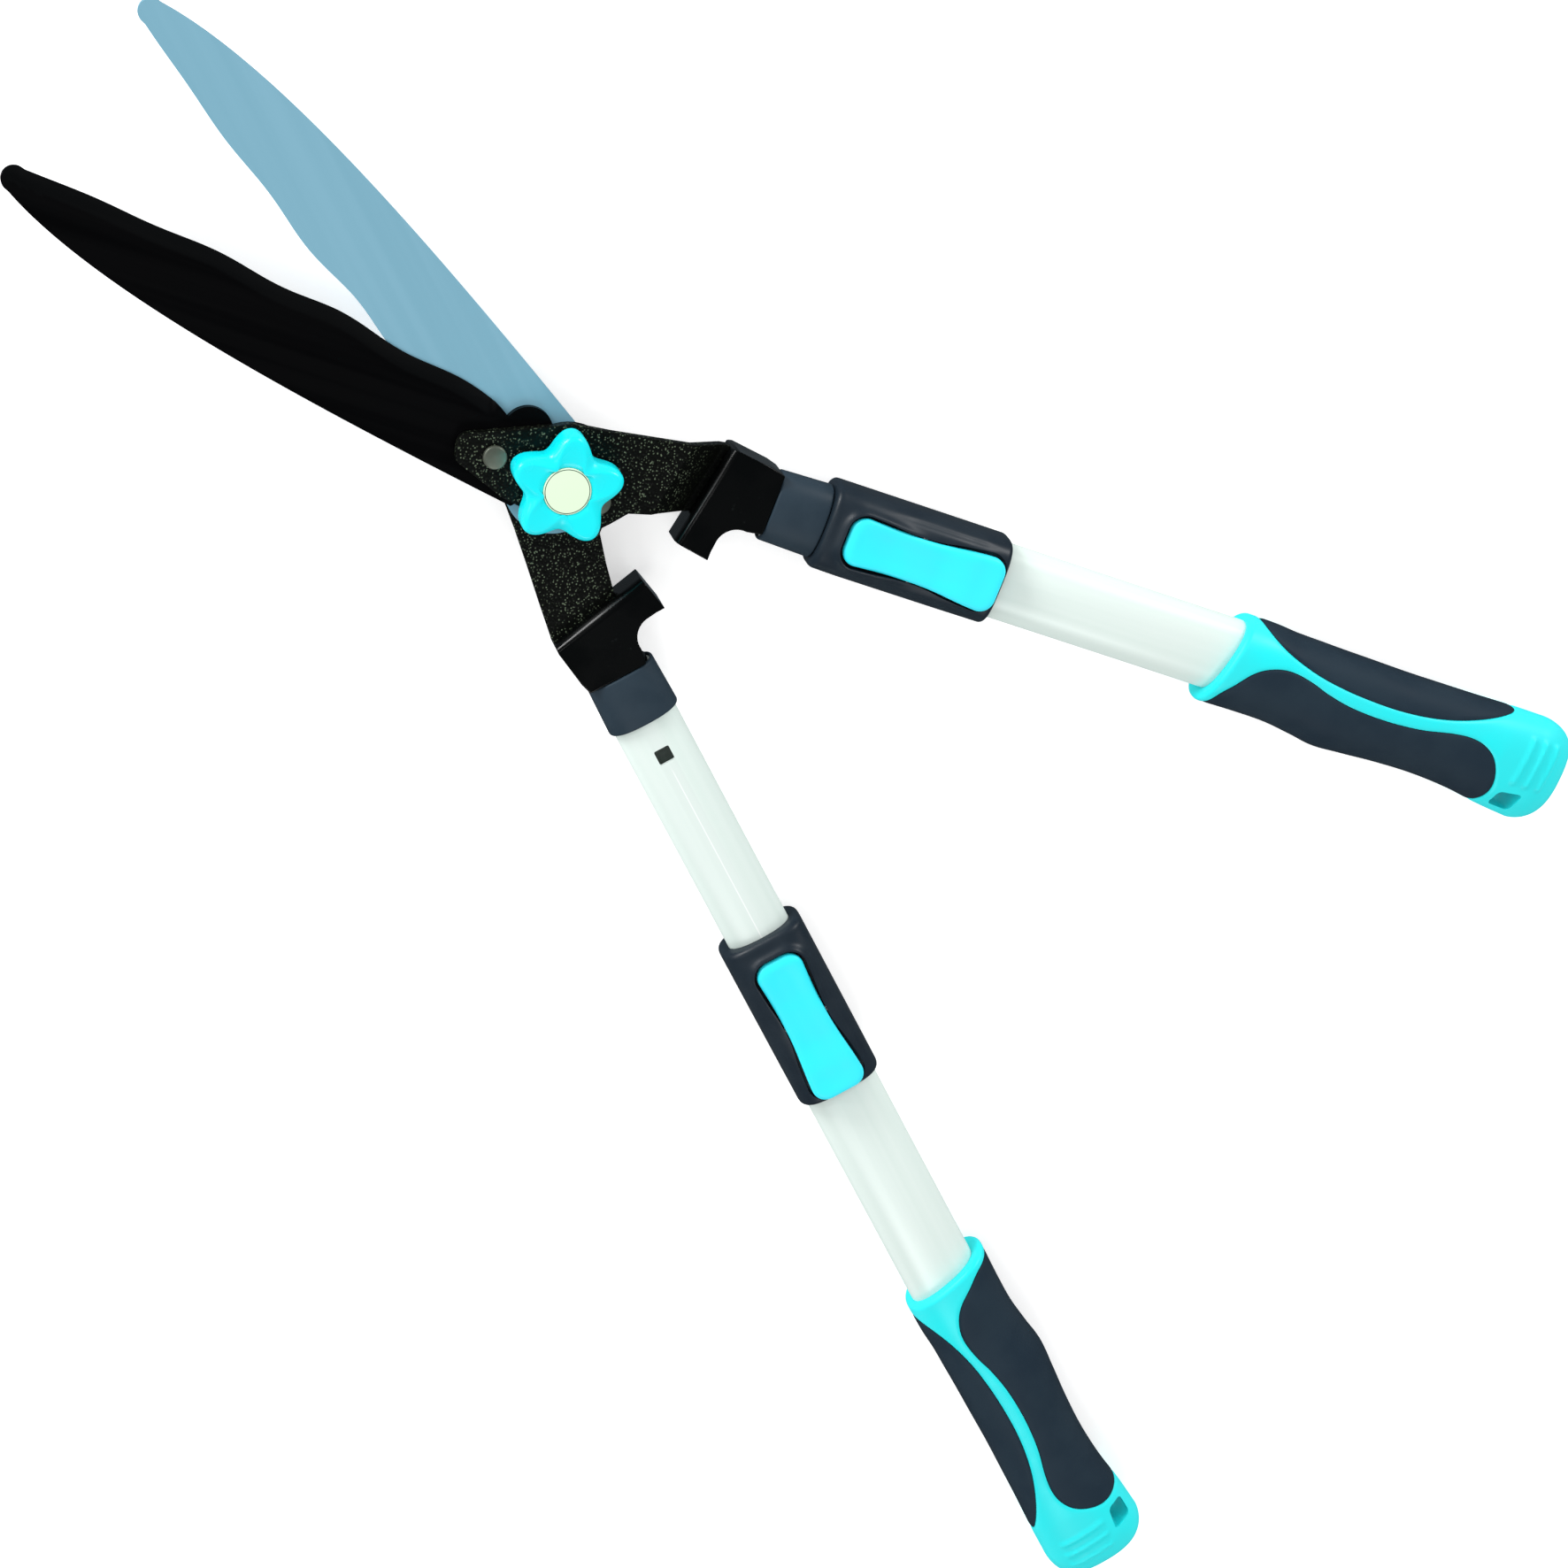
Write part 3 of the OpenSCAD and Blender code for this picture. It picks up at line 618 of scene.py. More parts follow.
# %% Anodised tubes
tube_white = paint(224, 236, 231)
tube_shade = paint(217, 231, 225)
tube_rubbed = paint(252, 255, 254)
material, tree, shader = finish("anodised_aluminium", tube_white, 0.36, metallic=0.05, specular=0.3)
vector = pattern_vector(tree)
lines = effect(tree, drawn, vector, 3000)
split = add(tree, "ShaderNodeSeparateXYZ")
wire(tree, vector, split.inputs["Vector"])
from_rub = calculate(tree, "ABSOLUTE", split.outputs["X"])
behind_hole = ramp(tree, split.outputs["Y"], -136 * MM, -128 * MM, 1.0, 0.0)
on_top = ramp(tree, split.outputs["Z"], 9.0 * MM, 9.5 * MM, 1.0, 0.0)
on_line = ramp(tree, from_rub, 0.1 * MM, 0.35 * MM, 0.7, 0.0)
rubbed = calculate(tree, "MULTIPLY", on_line, calculate(tree, "MULTIPLY", behind_hole, on_top))
plain = colour_by(tree, lines["Streak"], tube_white, tube_shade)
wire(tree, colour_by(tree, rubbed, plain, tube_rubbed), shader.inputs["Base Color"])
wire(tree, ramp(tree, lines["Streak"], 0, 1, 0.32, 0.42), shader.inputs["Roughness"])
relief(tree, shader, lines["Height"], 0.008, 0.6)
materials["anodised_aluminium"] = material


# %% Plated steel
def plated(name, colour, dull, roughness, metallic=0.9):
    """Plated steel, for new pieces and carried-over ones alike."""
    material, tree, shader = finish(name, colour, roughness, metallic=metallic)
    vector = pattern_vector(tree, local=False)
    skin = effect(tree, grain, vector, 700)
    marks = effect(tree, scuffs, vector, 500)["Mask"]
    wire(tree, colour_by(tree, skin["Cloud"], colour, dull), shader.inputs["Base Color"])
    wire(tree, ramp(tree, marks, 0, 1, roughness, roughness + 0.2), shader.inputs["Roughness"])
    relief(tree, shader, skin["Height"], 0.02, 0.5)
    return material


materials["rivet_steel"] = plated("rivet_steel", paint(132, 137, 124), paint(96, 102, 90), 0.42, 0.6)
materials["zinc_steel"] = plated("zinc_steel", paint(190, 192, 190), paint(160, 163, 162), 0.32)
print("finishes:", sorted(materials))


# %% [markdown]
# ## From mesh to piece
# This last tool ends every piece in the same way.


# %% Finishing tool
def place_piece(bm, name, place, body, slot, stands_for=(), smooth_angle=40, mask=None):
    """Ends a piece; a mask gives the "ground" attribute from a point in the piece's own frame."""
    local = bm.verts.layers.float_vector.new("local")
    ground = bm.verts.layers.float.new("ground")
    for vert in bm.verts:
        vert[local] = vert.co * MM
        if mask:
            vert[ground] = mask(vert.co)
    bmesh.ops.transform(bm, matrix=place, verts=bm.verts)
    if place.determinant() < 0:
        bmesh.ops.reverse_faces(bm, faces=bm.faces)
    mesh = bpy.data.meshes.new(name)
    bm.to_mesh(mesh)
    bm.free()
    mesh.shade_smooth()
    mesh.set_sharp_from_angle(angle=math.radians(smooth_angle))
    mesh.materials.append(materials[slot])
    piece = bpy.data.objects.new(name, mesh)
    bpy.context.scene.collection.objects.link(piece)
    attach(piece, body)
    if stands_for:
        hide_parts(*stands_for)
    return piece


def on_both_sides(bm, name, slot, part, handle=True, slides=True, **options):
    """Places copies of one mesh on the left and the right, each standing for SIDE_part."""
    pieces = []
    for side in SIDES:
        place = handle_place(side, slides) if handle else half_place(side)
        body = f"{side}_handle" if slides else HALF_BODY[side]
        pieces.append(place_piece(
            bm.copy(), f"{name}_{side}", place, body, slot, [f"{side}_{part}"], **options
        ))
    bm.free()
    print(f"{name}: {len(pieces[0].data.polygons)} faces a side")


# %% [markdown]
# ## The blades
# A blade is a long tapering plate with a wavy cutting edge. One side of the edge is ground away to
# a thin hollow bevel, which is what makes it cut. A Boolean or a bevel can't give a bevel that
# tapers and stops short of the heel, so the blade is a grid: its rows are stations along the blade
# and its columns run from the spine to the edge. Every row finds its own two ends in the plan.

# %% Blade plan
BLADE_THICK = 3.0
EDGE_TIP, EDGE_HEEL, TIP_END, TANG_END = 236.0, 34.0, 242.55, -21.95
EDGE_TIP_X, EDGE_SLOPE, EDGE_BOW = 53, 0.157, 4.3
WAVE_HEIGHT, WAVE_PITCH, WAVE_FADE = 1.1, 55.0, 130.0
SPINE = [(-16.3, 15), (1, 115), (18.5, 200), (44.6, 240)]
ROUNDS = [((48.6, 237.6), 5.0), ((3.2, -2.0), 20.0), ((14.3, 18.5), 10.0)]
RIVETS = [(1.0, 28.6), (-3.3, -17.0)]
BLADE_SET = math.radians(1.1)


def edge_x(s, crest):
    """The wavy cutting edge's x at a distance s in front of the pivot."""
    middle, half = (EDGE_TIP + EDGE_HEEL) / 2, (EDGE_TIP - EDGE_HEEL) / 2
    wave = WAVE_HEIGHT * min(1, (EDGE_TIP - s) / WAVE_FADE)
    return (EDGE_TIP_X - EDGE_SLOPE * (EDGE_TIP - s) + EDGE_BOW * (1 - ((s - middle) / half) ** 2)
            + wave * math.cos(2 * math.pi * (s - crest) / WAVE_PITCH))


def spine_point(t):
    """A point on the spine's Bezier curve."""
    a, b, c, d = ((1 - t) ** 3, 3 * t * (1 - t) ** 2, 3 * t * t * (1 - t), t ** 3)
    return [a * p + b * q + c * r + d * w for p, q, r, w in zip(*SPINE)]


spine_line = [spine_point(i / 200) for i in range(201)]


def between(line, s):
    """The x on a line of points (x, y) at y = s, or None outside it."""
    for (x0, y0), (x1, y1) in zip(line, line[1:]):
        if min(y0, y1) <= s <= max(y0, y1) and y0 != y1:
            return x0 + (x1 - x0) * (s - y0) / (y1 - y0)
    return None


def blade_row(s, crest):
    """The left and right ends of the blade's plan at a distance s in front of the pivot."""
    heel = [(edge_x(EDGE_HEEL, crest), EDGE_HEEL), (19.3, 30.5), (12, 20), (3.2, -2)]
    lefts = [between([(3.2, -2)] + spine_line, s)]
    rights = [edge_x(s, crest) if EDGE_HEEL <= s <= EDGE_TIP else between(heel, s)]
    for (x, y), r in ROUNDS:
        if abs(s - y) < r:
            reach = math.sqrt(r * r - (s - y) ** 2)
            lefts.append(x - reach)
            rights.append(x + reach)
    return (min(x for x in lefts if x is not None), max(x for x in rights if x is not None))


# %% Blade mesh
GRIND_WIDTH, GRIND_DEPTH, GRIND_END = 6.5, 2.3, 36.0
COLUMNS, GRIND_COLUMNS = 16, 6
RIVET_HOLE = 2.6


def blade_stations():
    """Rows from tang to tip, closer together at the heel and round both ends."""
    rows = [TANG_END + 22 * (1 - math.cos(math.pi / 2 * i / 14)) for i in range(14)]
    rows += [0.4 * i for i in range(0, 100)]
    rows += [40 + 1.4 * i for i in range(0, 140)]
    rows += [TIP_END - 6.55 * (1 - math.sin(math.pi / 2 * i / 14)) for i in range(15)]
    return rows


def build_blade(crest, turned, hole):
    """A blade whose lower face is at z = 0, ground on its upper face."""
    rows = blade_stations()
    bm = bmesh.new()
    bmesh.ops.create_grid(bm, x_segments=len(rows) - 1, y_segments=COLUMNS - 1, size=1)
    level = bm.verts.layers.float.new("level")
    for vert in bm.verts:
        i = round((vert.co.x + 1) / 2 * (len(rows) - 1))
        j = round((vert.co.y + 1) / 2 * (COLUMNS - 1))
        s = rows[i]
        left, right = blade_row(s, crest)
        width = right - left
        bevel = min(GRIND_WIDTH, 0.4 * width)
        flat_columns = COLUMNS - 1 - GRIND_COLUMNS
        if j <= flat_columns:
            x, down = left + (width - bevel) * j / flat_columns, 0
        else:
            t = (j - flat_columns) / GRIND_COLUMNS
            x, down = right - bevel * (1 - t), GRIND_DEPTH * t ** 1.25
        down *= fade(GRIND_END - 3, GRIND_END + 1, s) * min(1, bevel / GRIND_WIDTH)
        vert.co = (x, s, 0)
        vert[level] = BLADE_THICK - down
    result = bmesh.ops.extrude_face_region(bm, geom=list(bm.faces), use_keep_orig=True)
    for vert in new_ones(result, bmesh.types.BMVert):
        vert.co.z = vert[level]
    tidy(bm)
    bmesh.ops.rotate(bm, verts=bm.verts, matrix=Matrix.Rotation(turned, 3, "Z"), cent=(0, 0, 0))
    drills = [lathe([(0, -2), (hole / 2, -2), (hole / 2, 6), (0, 6)], steps=48)]
    drills += [lathe([(0, -2), (RIVET_HOLE, -2), (RIVET_HOLE, 6), (0, 6)], p, steps=32) for p in RIVETS]
    return combine(bm, joined(*drills))


def ground_mask(crest, turned):
    """1 on the hollow bevel and 0 on the flat of the blade."""
    back = Matrix.Rotation(-turned, 3, "Z")

    def mask(co):
        p = back @ co
        s = min(TIP_END - 0.2, max(TANG_END + 0.2, p.y))
        right = blade_row(s, crest)[1]
        return fade(GRIND_END - 2, GRIND_END + 1, s) * (1 if right - p.x < GRIND_WIDTH - 0.3 else 0)
    return mask


UPPER_CREST = 103.0
LOWER_CREST = UPPER_CREST - WAVE_PITCH / 2
low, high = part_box("upper_blade")
upper = build_blade(UPPER_CREST, BLADE_SET, 8.1)
bmesh.ops.translate(upper, verts=upper.verts, vec=(0, 0, low.z / MM))
blade = place_piece(upper, "black_blade", half_place("right"), "upper_half", "black_blade_coating",
                    ["upper_blade"], 28, mask=ground_mask(UPPER_CREST, BLADE_SET))
print("black blade:", len(blade.data.polygons), "faces; length", round((high.y - low.y) / MM), "mm")

# The lower blade is ground on its hidden face, so it is built upside down and turned over.
low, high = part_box("lower_blade")
lower = build_blade(LOWER_CREST, -BLADE_SET, 8.0)
bmesh.ops.scale(lower, verts=lower.verts, vec=(1, 1, -1))
bmesh.ops.reverse_faces(lower, faces=lower.faces)
bmesh.ops.translate(lower, verts=lower.verts, vec=(0, 0, high.z / MM))
blade = place_piece(lower, "blue_steel_blade", half_place("left"), "lower_half", "blue_steel_blade",
                    ["lower_blade"], 28)
print("blue steel blade:", len(blade.data.polygons), "faces")

# %% [markdown]
# ## Brackets and rivets
# The brackets are pressed from 4 mm sheet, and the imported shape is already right. What it lacks is
# the rounded edge that a thick coat of enamel leaves, which is where the light catches. So a copy of
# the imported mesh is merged, its flat faces are joined, and its edges are bevelled.


# %% Brackets
def packed_copy(node, place):
    """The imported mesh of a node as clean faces, in its own frame in millimetres."""
    bm = bmesh.new()
    bm.from_mesh(frame["nodes"][node].data)
    bmesh.ops.transform(bm, matrix=place.inverted(), verts=bm.verts)
    if place.determinant() < 0:
        bmesh.ops.reverse_faces(bm, faces=bm.faces)
    bmesh.ops.remove_doubles(bm, verts=bm.verts, dist=0.004)
    bmesh.ops.dissolve_limit(
        bm, angle_limit=math.radians(1.5), verts=bm.verts, edges=bm.edges, use_dissolve_boundaries=False
    )
    return bm


def painted_bend_shade(co):
    """1 where the upper bracket bends down to its connector; the pale flecks fade out there as painted
    shade.
    """
    return fade(42, 49, -co.y - 0.2 * co.x)


# The upper bracket's mask paints shade on its slope down to the connector.
for side in SIDES:
    node = {"left": "lower_bracket", "right": "upper_bracket"}[side]
    bm = keep_flat(round_edges(packed_copy(node, half_place(side)), 0.6, 3, 50))
    piece = place_piece(bm, f"{node}_enamelled", half_place(side), HALF_BODY[side],
                        "hammered_black", [node], 35, mask=painted_bend_shade if side == "right" else None)
    print(node, len(piece.data.polygons), "faces")

# %% [markdown]
# A rivet head is a low dome with a small flat, spun from a profile. The heads sit on the brackets,
# above the upper one and below the lower one, and their shanks fill the holes.

# %% Rivets
HEAD_RADIUS, HEAD_HEIGHT, HEAD_ROUND = 4.8, 2.0, 0.9
SHANK_RADIUS = 2.5


def rivet_profile(seat, head_up, far):
    """Profile of a rivet: its head on a seat height, its shank to the far height."""
    way = 1 if head_up else -1
    head = [(HEAD_RADIUS, seat), (HEAD_RADIUS, seat + way * HEAD_ROUND)]
    head += [
        (HEAD_RADIUS - HEAD_ROUND * (1 - math.cos(a)), seat + way * HEAD_ROUND * (1 + math.sin(a)))
        for a in (math.radians(18 * k) for k in range(1, 6))
    ]
    shank = [(0, far), (SHANK_RADIUS, far), (SHANK_RADIUS, seat)]
    return shank + head + [(2.2, seat + way * HEAD_HEIGHT), (0, seat + way * HEAD_HEIGHT)]


for side, node, bracket, blade_node in (
    ("left", "lower_rivets", "lower_bracket", "lower_blade"),
    ("right", "upper_rivets", "upper_bracket", "upper_blade"),
):
    up = side == "right"
    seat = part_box(bracket)[1 if up else 0].z / MM
    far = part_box(blade_node)[0 if up else 1].z / MM
    bm = joined(*(lathe(rivet_profile(seat, up, far), p, 40) for p in RIVETS))
    place_piece(bm, f"{node}_turned", half_place(side), HALF_BODY[side], "rivet_steel", [node], 30)
    print(node, "heads seated at", round(seat, 1), "mm")

# %% [markdown]
# ## Bolt and washer
# The bolt's hexagon head shows only from below. Its corners are chamfered, as on any forged bolt:
# the hexagon is kept only where a turned cone shares it. The washer is a turned ring with broken
# edges.

# %% Bolt and washer
bolt_top = (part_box("pivot_bolt")[1] / MM).z
HEAD_FLATS, HEAD_TALL = 13.0, 5.0
corner_radius = HEAD_FLATS / 2 / math.cos(math.radians(30))
hexagon = [
    (corner_radius * math.cos(math.radians(60 * k)), corner_radius * math.sin(math.radians(60 * k)))
    for k in range(6)
]
cone_radius = corner_radius + 0.05
cone = lathe([(0, 0), (6.1, 0), (cone_radius, 0.8), (cone_radius, HEAD_TALL), (0, HEAD_TALL)])
head = combine(plate(hexagon, 0, HEAD_TALL), cone, "INTERSECT")
shank = lathe([(0, 4), (4, 4), (4, bolt_top - 0.8), (3.3, bolt_top), (0, bolt_top)])
upright = Matrix.Scale(MM, 4)
place_piece(joined(head, shank), "bolt", upright, "lower_half", "zinc_steel", ["pivot_bolt"], 30)

washer_low, washer_high = (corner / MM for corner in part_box("pivot_washer"))
ring = [(4.05, washer_low.z), (9.6, washer_low.z), (10, washer_low.z + 0.4),
        (10, washer_high.z - 0.4), (9.6, washer_high.z), (4.05, washer_high.z), (4.05, washer_low.z)]
place_piece(lathe(ring), "washer_turned", upright, "washer", "zinc_steel", ["pivot_washer"], 30)
print("bolt", round(bolt_top), "mm tall, washer", round(washer_high.z - washer_low.z, 1), "mm thick")

# %% [markdown]
# ## The star knob
# The knob has five lobes, and its radius follows a cosine of five times the angle. It is a loft of
# star sections: straight sides, a generous rounding to the top, and a shallow dish that turns from
# a star into a circle round the cap.

# %% Star knob
knob_low, knob_high = (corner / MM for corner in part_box("star_knob"))
KNOB_RADIUS, KNOB_LOBE, LOBE_TURN = 19.5, 3.4, math.radians(32.5)
NUT_BORE, BOSS_RADIUS = 4.4, 9.0
CAP_RADIUS = 9.5
STAR_POINTS = 240
TOP = knob_high.z - 0.05


def star_section(z, inset, roundness=0.0, circle=11.0):
    """A five-lobed section; roundness turns it from a star (0) into a circle (1)."""
    section = []
    for i in range(STAR_POINTS):
        a = 2 * math.pi * i / STAR_POINTS
        lobe = math.cos(5 * (a - LOBE_TURN))
        star = KNOB_RADIUS + KNOB_LOBE * lobe - inset * (1 - 0.42 * lobe)
        r = star + (circle - star) * roundness
        section.append((r * math.cos(a), r * math.sin(a), z))
    return section


star_base = knob_low.z + 1.1
sections = [star_section(knob_low.z, 0, 1, NUT_BORE), star_section(knob_low.z, 0, 1, BOSS_RADIUS),
            star_section(star_base, 0, 1, BOSS_RADIUS), star_section(star_base, 1.0),
            star_section(star_base + 0.3, 0.4), star_section(star_base + 1.0, 0.05)]
sections += [star_section(star_base + 1 + 1.1 * k, 0.0) for k in range(1, 6)]
SIDE_ROUND = 4.2
for k in range(1, 11):
    a = math.radians(9 * k)
    sections.append(star_section(
        TOP - SIDE_ROUND * 0.85 * (1 - math.sin(a)), SIDE_ROUND * (1 - math.cos(a))
    ))
sections += [star_section(TOP - 0.05 * k, SIDE_ROUND + 0.5 * k, k / 7, 11.2) for k in range(1, 8)]
sections += [star_section(TOP - 0.55, 0, 1, 10.6), star_section(TOP - 0.75, 0, 1, 10.0),
             star_section(TOP - 1.0, 0, 1, CAP_RADIUS + 0.12),
             star_section(TOP - 2.0, 0, 1, CAP_RADIUS + 0.1),
             star_section(TOP - 2.0, 0, 1, NUT_BORE)]
piece = place_piece(loft(sections, ring=True), "star_knob_moulded", upright, "knob", "cyan_knob",
                    ["star_knob"], 50)
print("star knob:", len(piece.data.polygons), "faces")

# %% Cap
cap_base = (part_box("knob_cap")[0] / MM).z
cap_top = TOP - 0.35
profile = [(0, cap_base), (CAP_RADIUS, cap_base), (CAP_RADIUS, cap_top - 0.5)]
profile += [
    (CAP_RADIUS - 0.45 * (1 - math.cos(a)), cap_top - 0.5 + 0.45 * math.sin(a))
    for a in (math.radians(22.5 * k) for k in range(1, 5))
]
profile += [(8.95, cap_top - 0.05), (8.85, cap_top - 0.17), (8.75, cap_top - 0.05),
            (5, cap_top + 0.05), (0, cap_top + 0.1)]
place_piece(lathe(profile, steps=96), "cap", upright, "knob", "pale_cap", ["knob_cap"], 30)
print("cap top at", round(cap_top, 1), "mm")

# %% [markdown]
# ## Connectors
# A connector is a casting in gloss enamel. Its plan has a stop on the inner side, with a round
# fillet behind it. The plan is extruded, its front edges get a wide rounding, which carries the long
# highlight, and all other edges a narrower one.

# %% Connector
CONNECTOR_TALL, CONNECTOR_BACK = 18.0, 85.4
FRONT_EDGE = ((32.9, -61.5), (-9.9, -53.0))
FILLET_AT, FILLET_RADIUS = (-5.8, -77.6), 9
fillet = [
    (FILLET_AT[0] + FILLET_RADIUS * math.cos(math.radians(a)),
     FILLET_AT[1] + FILLET_RADIUS * math.sin(math.radians(a)))
    for a in range(-8, 96, 8)
]
connector_outline = [
    FRONT_EDGE[0], (33.1, -64.5), (30.8, -80.5),
    (29.4, -CONNECTOR_BACK), (4.1, -CONNECTOR_BACK), (3.4, -81),
]
connector_outline += fillet + [(-9, -68.2), (-12.8, -68.2), FRONT_EDGE[1]]


def build_connector():
    """The casting, without its spigot."""
    bottom = handle_z - CONNECTOR_TALL / 2
    bm = plate(connector_outline, bottom, bottom + CONNECTOR_TALL)
    start = Vector(FRONT_EDGE[0])
    along = (Vector(FRONT_EDGE[1]) - start).normalized()
    front = [e for e in bm.edges if abs(e.verts[0].co.z - e.verts[1].co.z) < 1
             and all(abs((v.co.xy - start).cross(along)) < 0.1 for v in e.verts)]
    bevel(bm, front, 3.6, 7)
    return keep_flat(round_edges(bm, 1.6, 4, 30))


bm = build_connector()
spigot = loft([across(oval(24.9, 14.3), s) for s in (84, 113.2, 113.8)])
bmesh.ops.translate(spigot, verts=spigot.verts, vec=(tube_offset, 0, handle_z))
on_both_sides(joined(bm, spigot), "connector_cast", "gloss_black", "connector",
              handle=False, slides=False, smooth_angle=45)

# %% [markdown]
# ## Collars and tubes
# A collar hides the joint between connector and inner tube. It is an oval sleeve, a little wider at
# its rear, with rounded ends. The tubes are plain ovals with thin walls and softly broken ends. The
# inner tube has two square holes for the lock pin, which are cut out afterwards.


# %% Collars
def oval_sleeve(stages, bore, bore_front, bore_back):
    """Stages of (station, width, height) outside, and an oval bore through it."""
    sections = [across(oval(w, h), s) for s, w, h in stages]
    sections += [across(oval(*bore), s) for s in (bore_back, bore_front)]
    return loft(sections, ring=True)


def rounded_ends(front, back, width, height, taper=0.0, radius=1.6, steps=5):
    """Stages of an oval sleeve with rounded ends, wider by taper at the back."""
    stages = [(front + radius * along, width - 2 * radius * inset, height - 2 * radius * inset)
              for along, inset in quarter_turn(steps)]
    back_end = [(front + back - s, w + taper, h + taper) for s, w, h in reversed(stages)]
    return stages + back_end


COLLAR_FRONT, COLLAR_BACK = 85.7, 108.1
INNER_TUBE, OUTER_TUBE, OUTER_FRONT = (27.6, 17.0), (31.6, 21.0), 130.5
collar_stages = rounded_ends(COLLAR_FRONT, COLLAR_BACK, 29.6, 19.9, 1.2, 0.9)
collar = oval_sleeve(collar_stages, INNER_TUBE, COLLAR_FRONT, COLLAR_BACK)
on_both_sides(collar, "collar_rounded", "slate_collar", "collar", slides=False)

# %% Inner tubes
LOCK_STATION, LOCK_HOLE = 124.0, 6.6
SLIDE = joints["right_telescope"]["range_m"][1] / MM


def tube(width, height, wall, front, back):
    """An oval tube with softly broken ends."""
    stages = rounded_ends(front, back, width, height, radius=0.35, steps=2)
    bore = (width - 2 * wall, height - 2 * wall)
    return oval_sleeve(stages, bore, front, back)


def square_cutter(station):
    """Cuts one square hole for the lock pin."""
    half = LOCK_HOLE / 2
    corners = [(-half, -station - half), (half, -station - half),
               (half, -station + half), (-half, -station + half)]
    return round_corners(plate(corners, 2, 14), 0.7, 3)


inner = tube(*INNER_TUBE, 1.3, 86.8, 318.0)
inner = combine(inner, joined(square_cutter(LOCK_STATION), square_cutter(LOCK_STATION + SLIDE)))
on_both_sides(inner, "inner_tube_drawn", "anodised_aluminium", "inner_tube",
              slides=False, smooth_angle=30)

# %% Outer tubes
outer = tube(*OUTER_TUBE, 1.4, OUTER_FRONT, 395.0)
on_both_sides(outer, "outer_tube_drawn", "anodised_aluminium", "outer_tube", smooth_angle=30)

# %% [markdown]
# ## The lock lever
# The lever is a dog bone in plan: wide at both ends and narrow at the waist, where its pin runs
# through. It rises towards the thumb end. It is lofted upwards: every section has the lever's
# outline, drawn in a little more as it nears the top, and each point takes its height from the
# side view at its own station.

# %% Lever outline
PIN_STATION, LEVER_FRONT, LEVER_BACK = 148.0, 117.0, 183.9
NOSE_WIDE, WAIST_WIDE, THUMB_WIDE = 21.4, 18.6, 23.4
SIDE_TOP = [
    (116, 15.6), (121, 16.6), (136, 16.0), (156, 16.6), (172.8, 18.2), (181.8, 18.6), (186, 18.1)
]
SPRING_STATION, SPRING_ROOF, POCKET_RADIUS = 172, 16.7, 4.0
LEVER_CORNER, CORNER_PARTS = 6.2, 8
SIDE_LOW = [(116, 12.2), (140, 11.6), (150, 11.6), (156, 11.95), (164, 12.75), (186, 14.8)]


def height_at(line, station):
    """The height on a side view of (station, height) points, smoothed."""
    for (s0, z0), (s1, z1) in zip(line, line[1:]):
        if station <= s1:
            return z0 + (z1 - z0) * fade(s0, s1, station)
    return line[-1][1]


def lever_half(station):
    """Half the lever's width at a station."""
    if station < PIN_STATION:
        share = (PIN_STATION - station) / (PIN_STATION - LEVER_FRONT)
        return WAIST_WIDE / 2 + (NOSE_WIDE - WAIST_WIDE) / 2 * min(1, share) ** 2
    share = min(1, (station - PIN_STATION) / (LEVER_BACK - PIN_STATION))
    return WAIST_WIDE / 2 + (THUMB_WIDE - WAIST_WIDE) / 4 * (1 - math.cos(math.pi * share))


def lever_outline(grow=0.0, waist_grow=0.0, side_parts=34):
    """Points (x, station) round the lever, moved outwards by grow, or at the waist by less."""
    front, back, r = LEVER_FRONT - grow, LEVER_BACK + grow, LEVER_CORNER + grow
    corner = quarter_turn(CORNER_PARTS)
    side = [(lever_half(front + r) + grow - r * inset, front + r * along)
            for along, inset in corner[:-1]]
    for k in range(side_parts + 1):
        s = front + r + (back - front - 2 * r) * k / side_parts
        off_waist = fade(3, 18, abs(s - PIN_STATION))
        side.append((lever_half(s) + waist_grow + (grow - waist_grow) * off_waist, s))
    side += [(lever_half(back - r) + grow - r * along, back - r * inset)
             for along, inset in corner[1:]]
    return side + [(-x, s) for x, s in reversed(side)]


# %% Lever mesh
def lever_section(inset, heights, lift):
    """The outline drawn in by inset, at a lift above a side view."""
    middle, half_long = (LEVER_FRONT + LEVER_BACK) / 2, (LEVER_BACK - LEVER_FRONT) / 2
    section = []
    for x, s in lever_outline():
        s = middle + (s - middle) * (1 - inset / half_long)
        x *= 1 - inset / (WAIST_WIDE / 2)
        section.append((x, -s, height_at(heights, s) + lift))
    return section


EDGE_ROUND, LOW_CHAMFER, DISH_DEEP = 1.7, 0.7, 0.35
FULL_INSET = WAIST_WIDE / 2  # draws a section in to a line
sections = [lever_section(FULL_INSET, SIDE_LOW, 0), lever_section(LOW_CHAMFER, SIDE_LOW, 0),
            lever_section(0, SIDE_LOW, LOW_CHAMFER)]
sections += [lever_section(EDGE_ROUND * inset, SIDE_TOP, -EDGE_ROUND * below)
             for inset, below in quarter_turn(7)]
for k in range(1, 9):
    inset = EDGE_ROUND + (FULL_INSET - EDGE_ROUND) * k / 8
    sections.append(lever_section(inset, SIDE_TOP, -DISH_DEEP * fade(2, 7, inset)))
spring_pocket = [(0, 5), (POCKET_RADIUS, 5), (POCKET_RADIUS, SPRING_ROOF), (0, SPRING_ROOF)]
for side in SIDES:
    bm = combine(loft(sections), lathe(spring_pocket, centre=(0, -SPRING_STATION)))
    piece = place_piece(bm, f"lever_{side}", handle_place(side), f"{side}_lever", "cyan_lever",
                        [f"{side}_lock_lever"], 60)
print("lever:", len(piece.data.polygons), "faces")

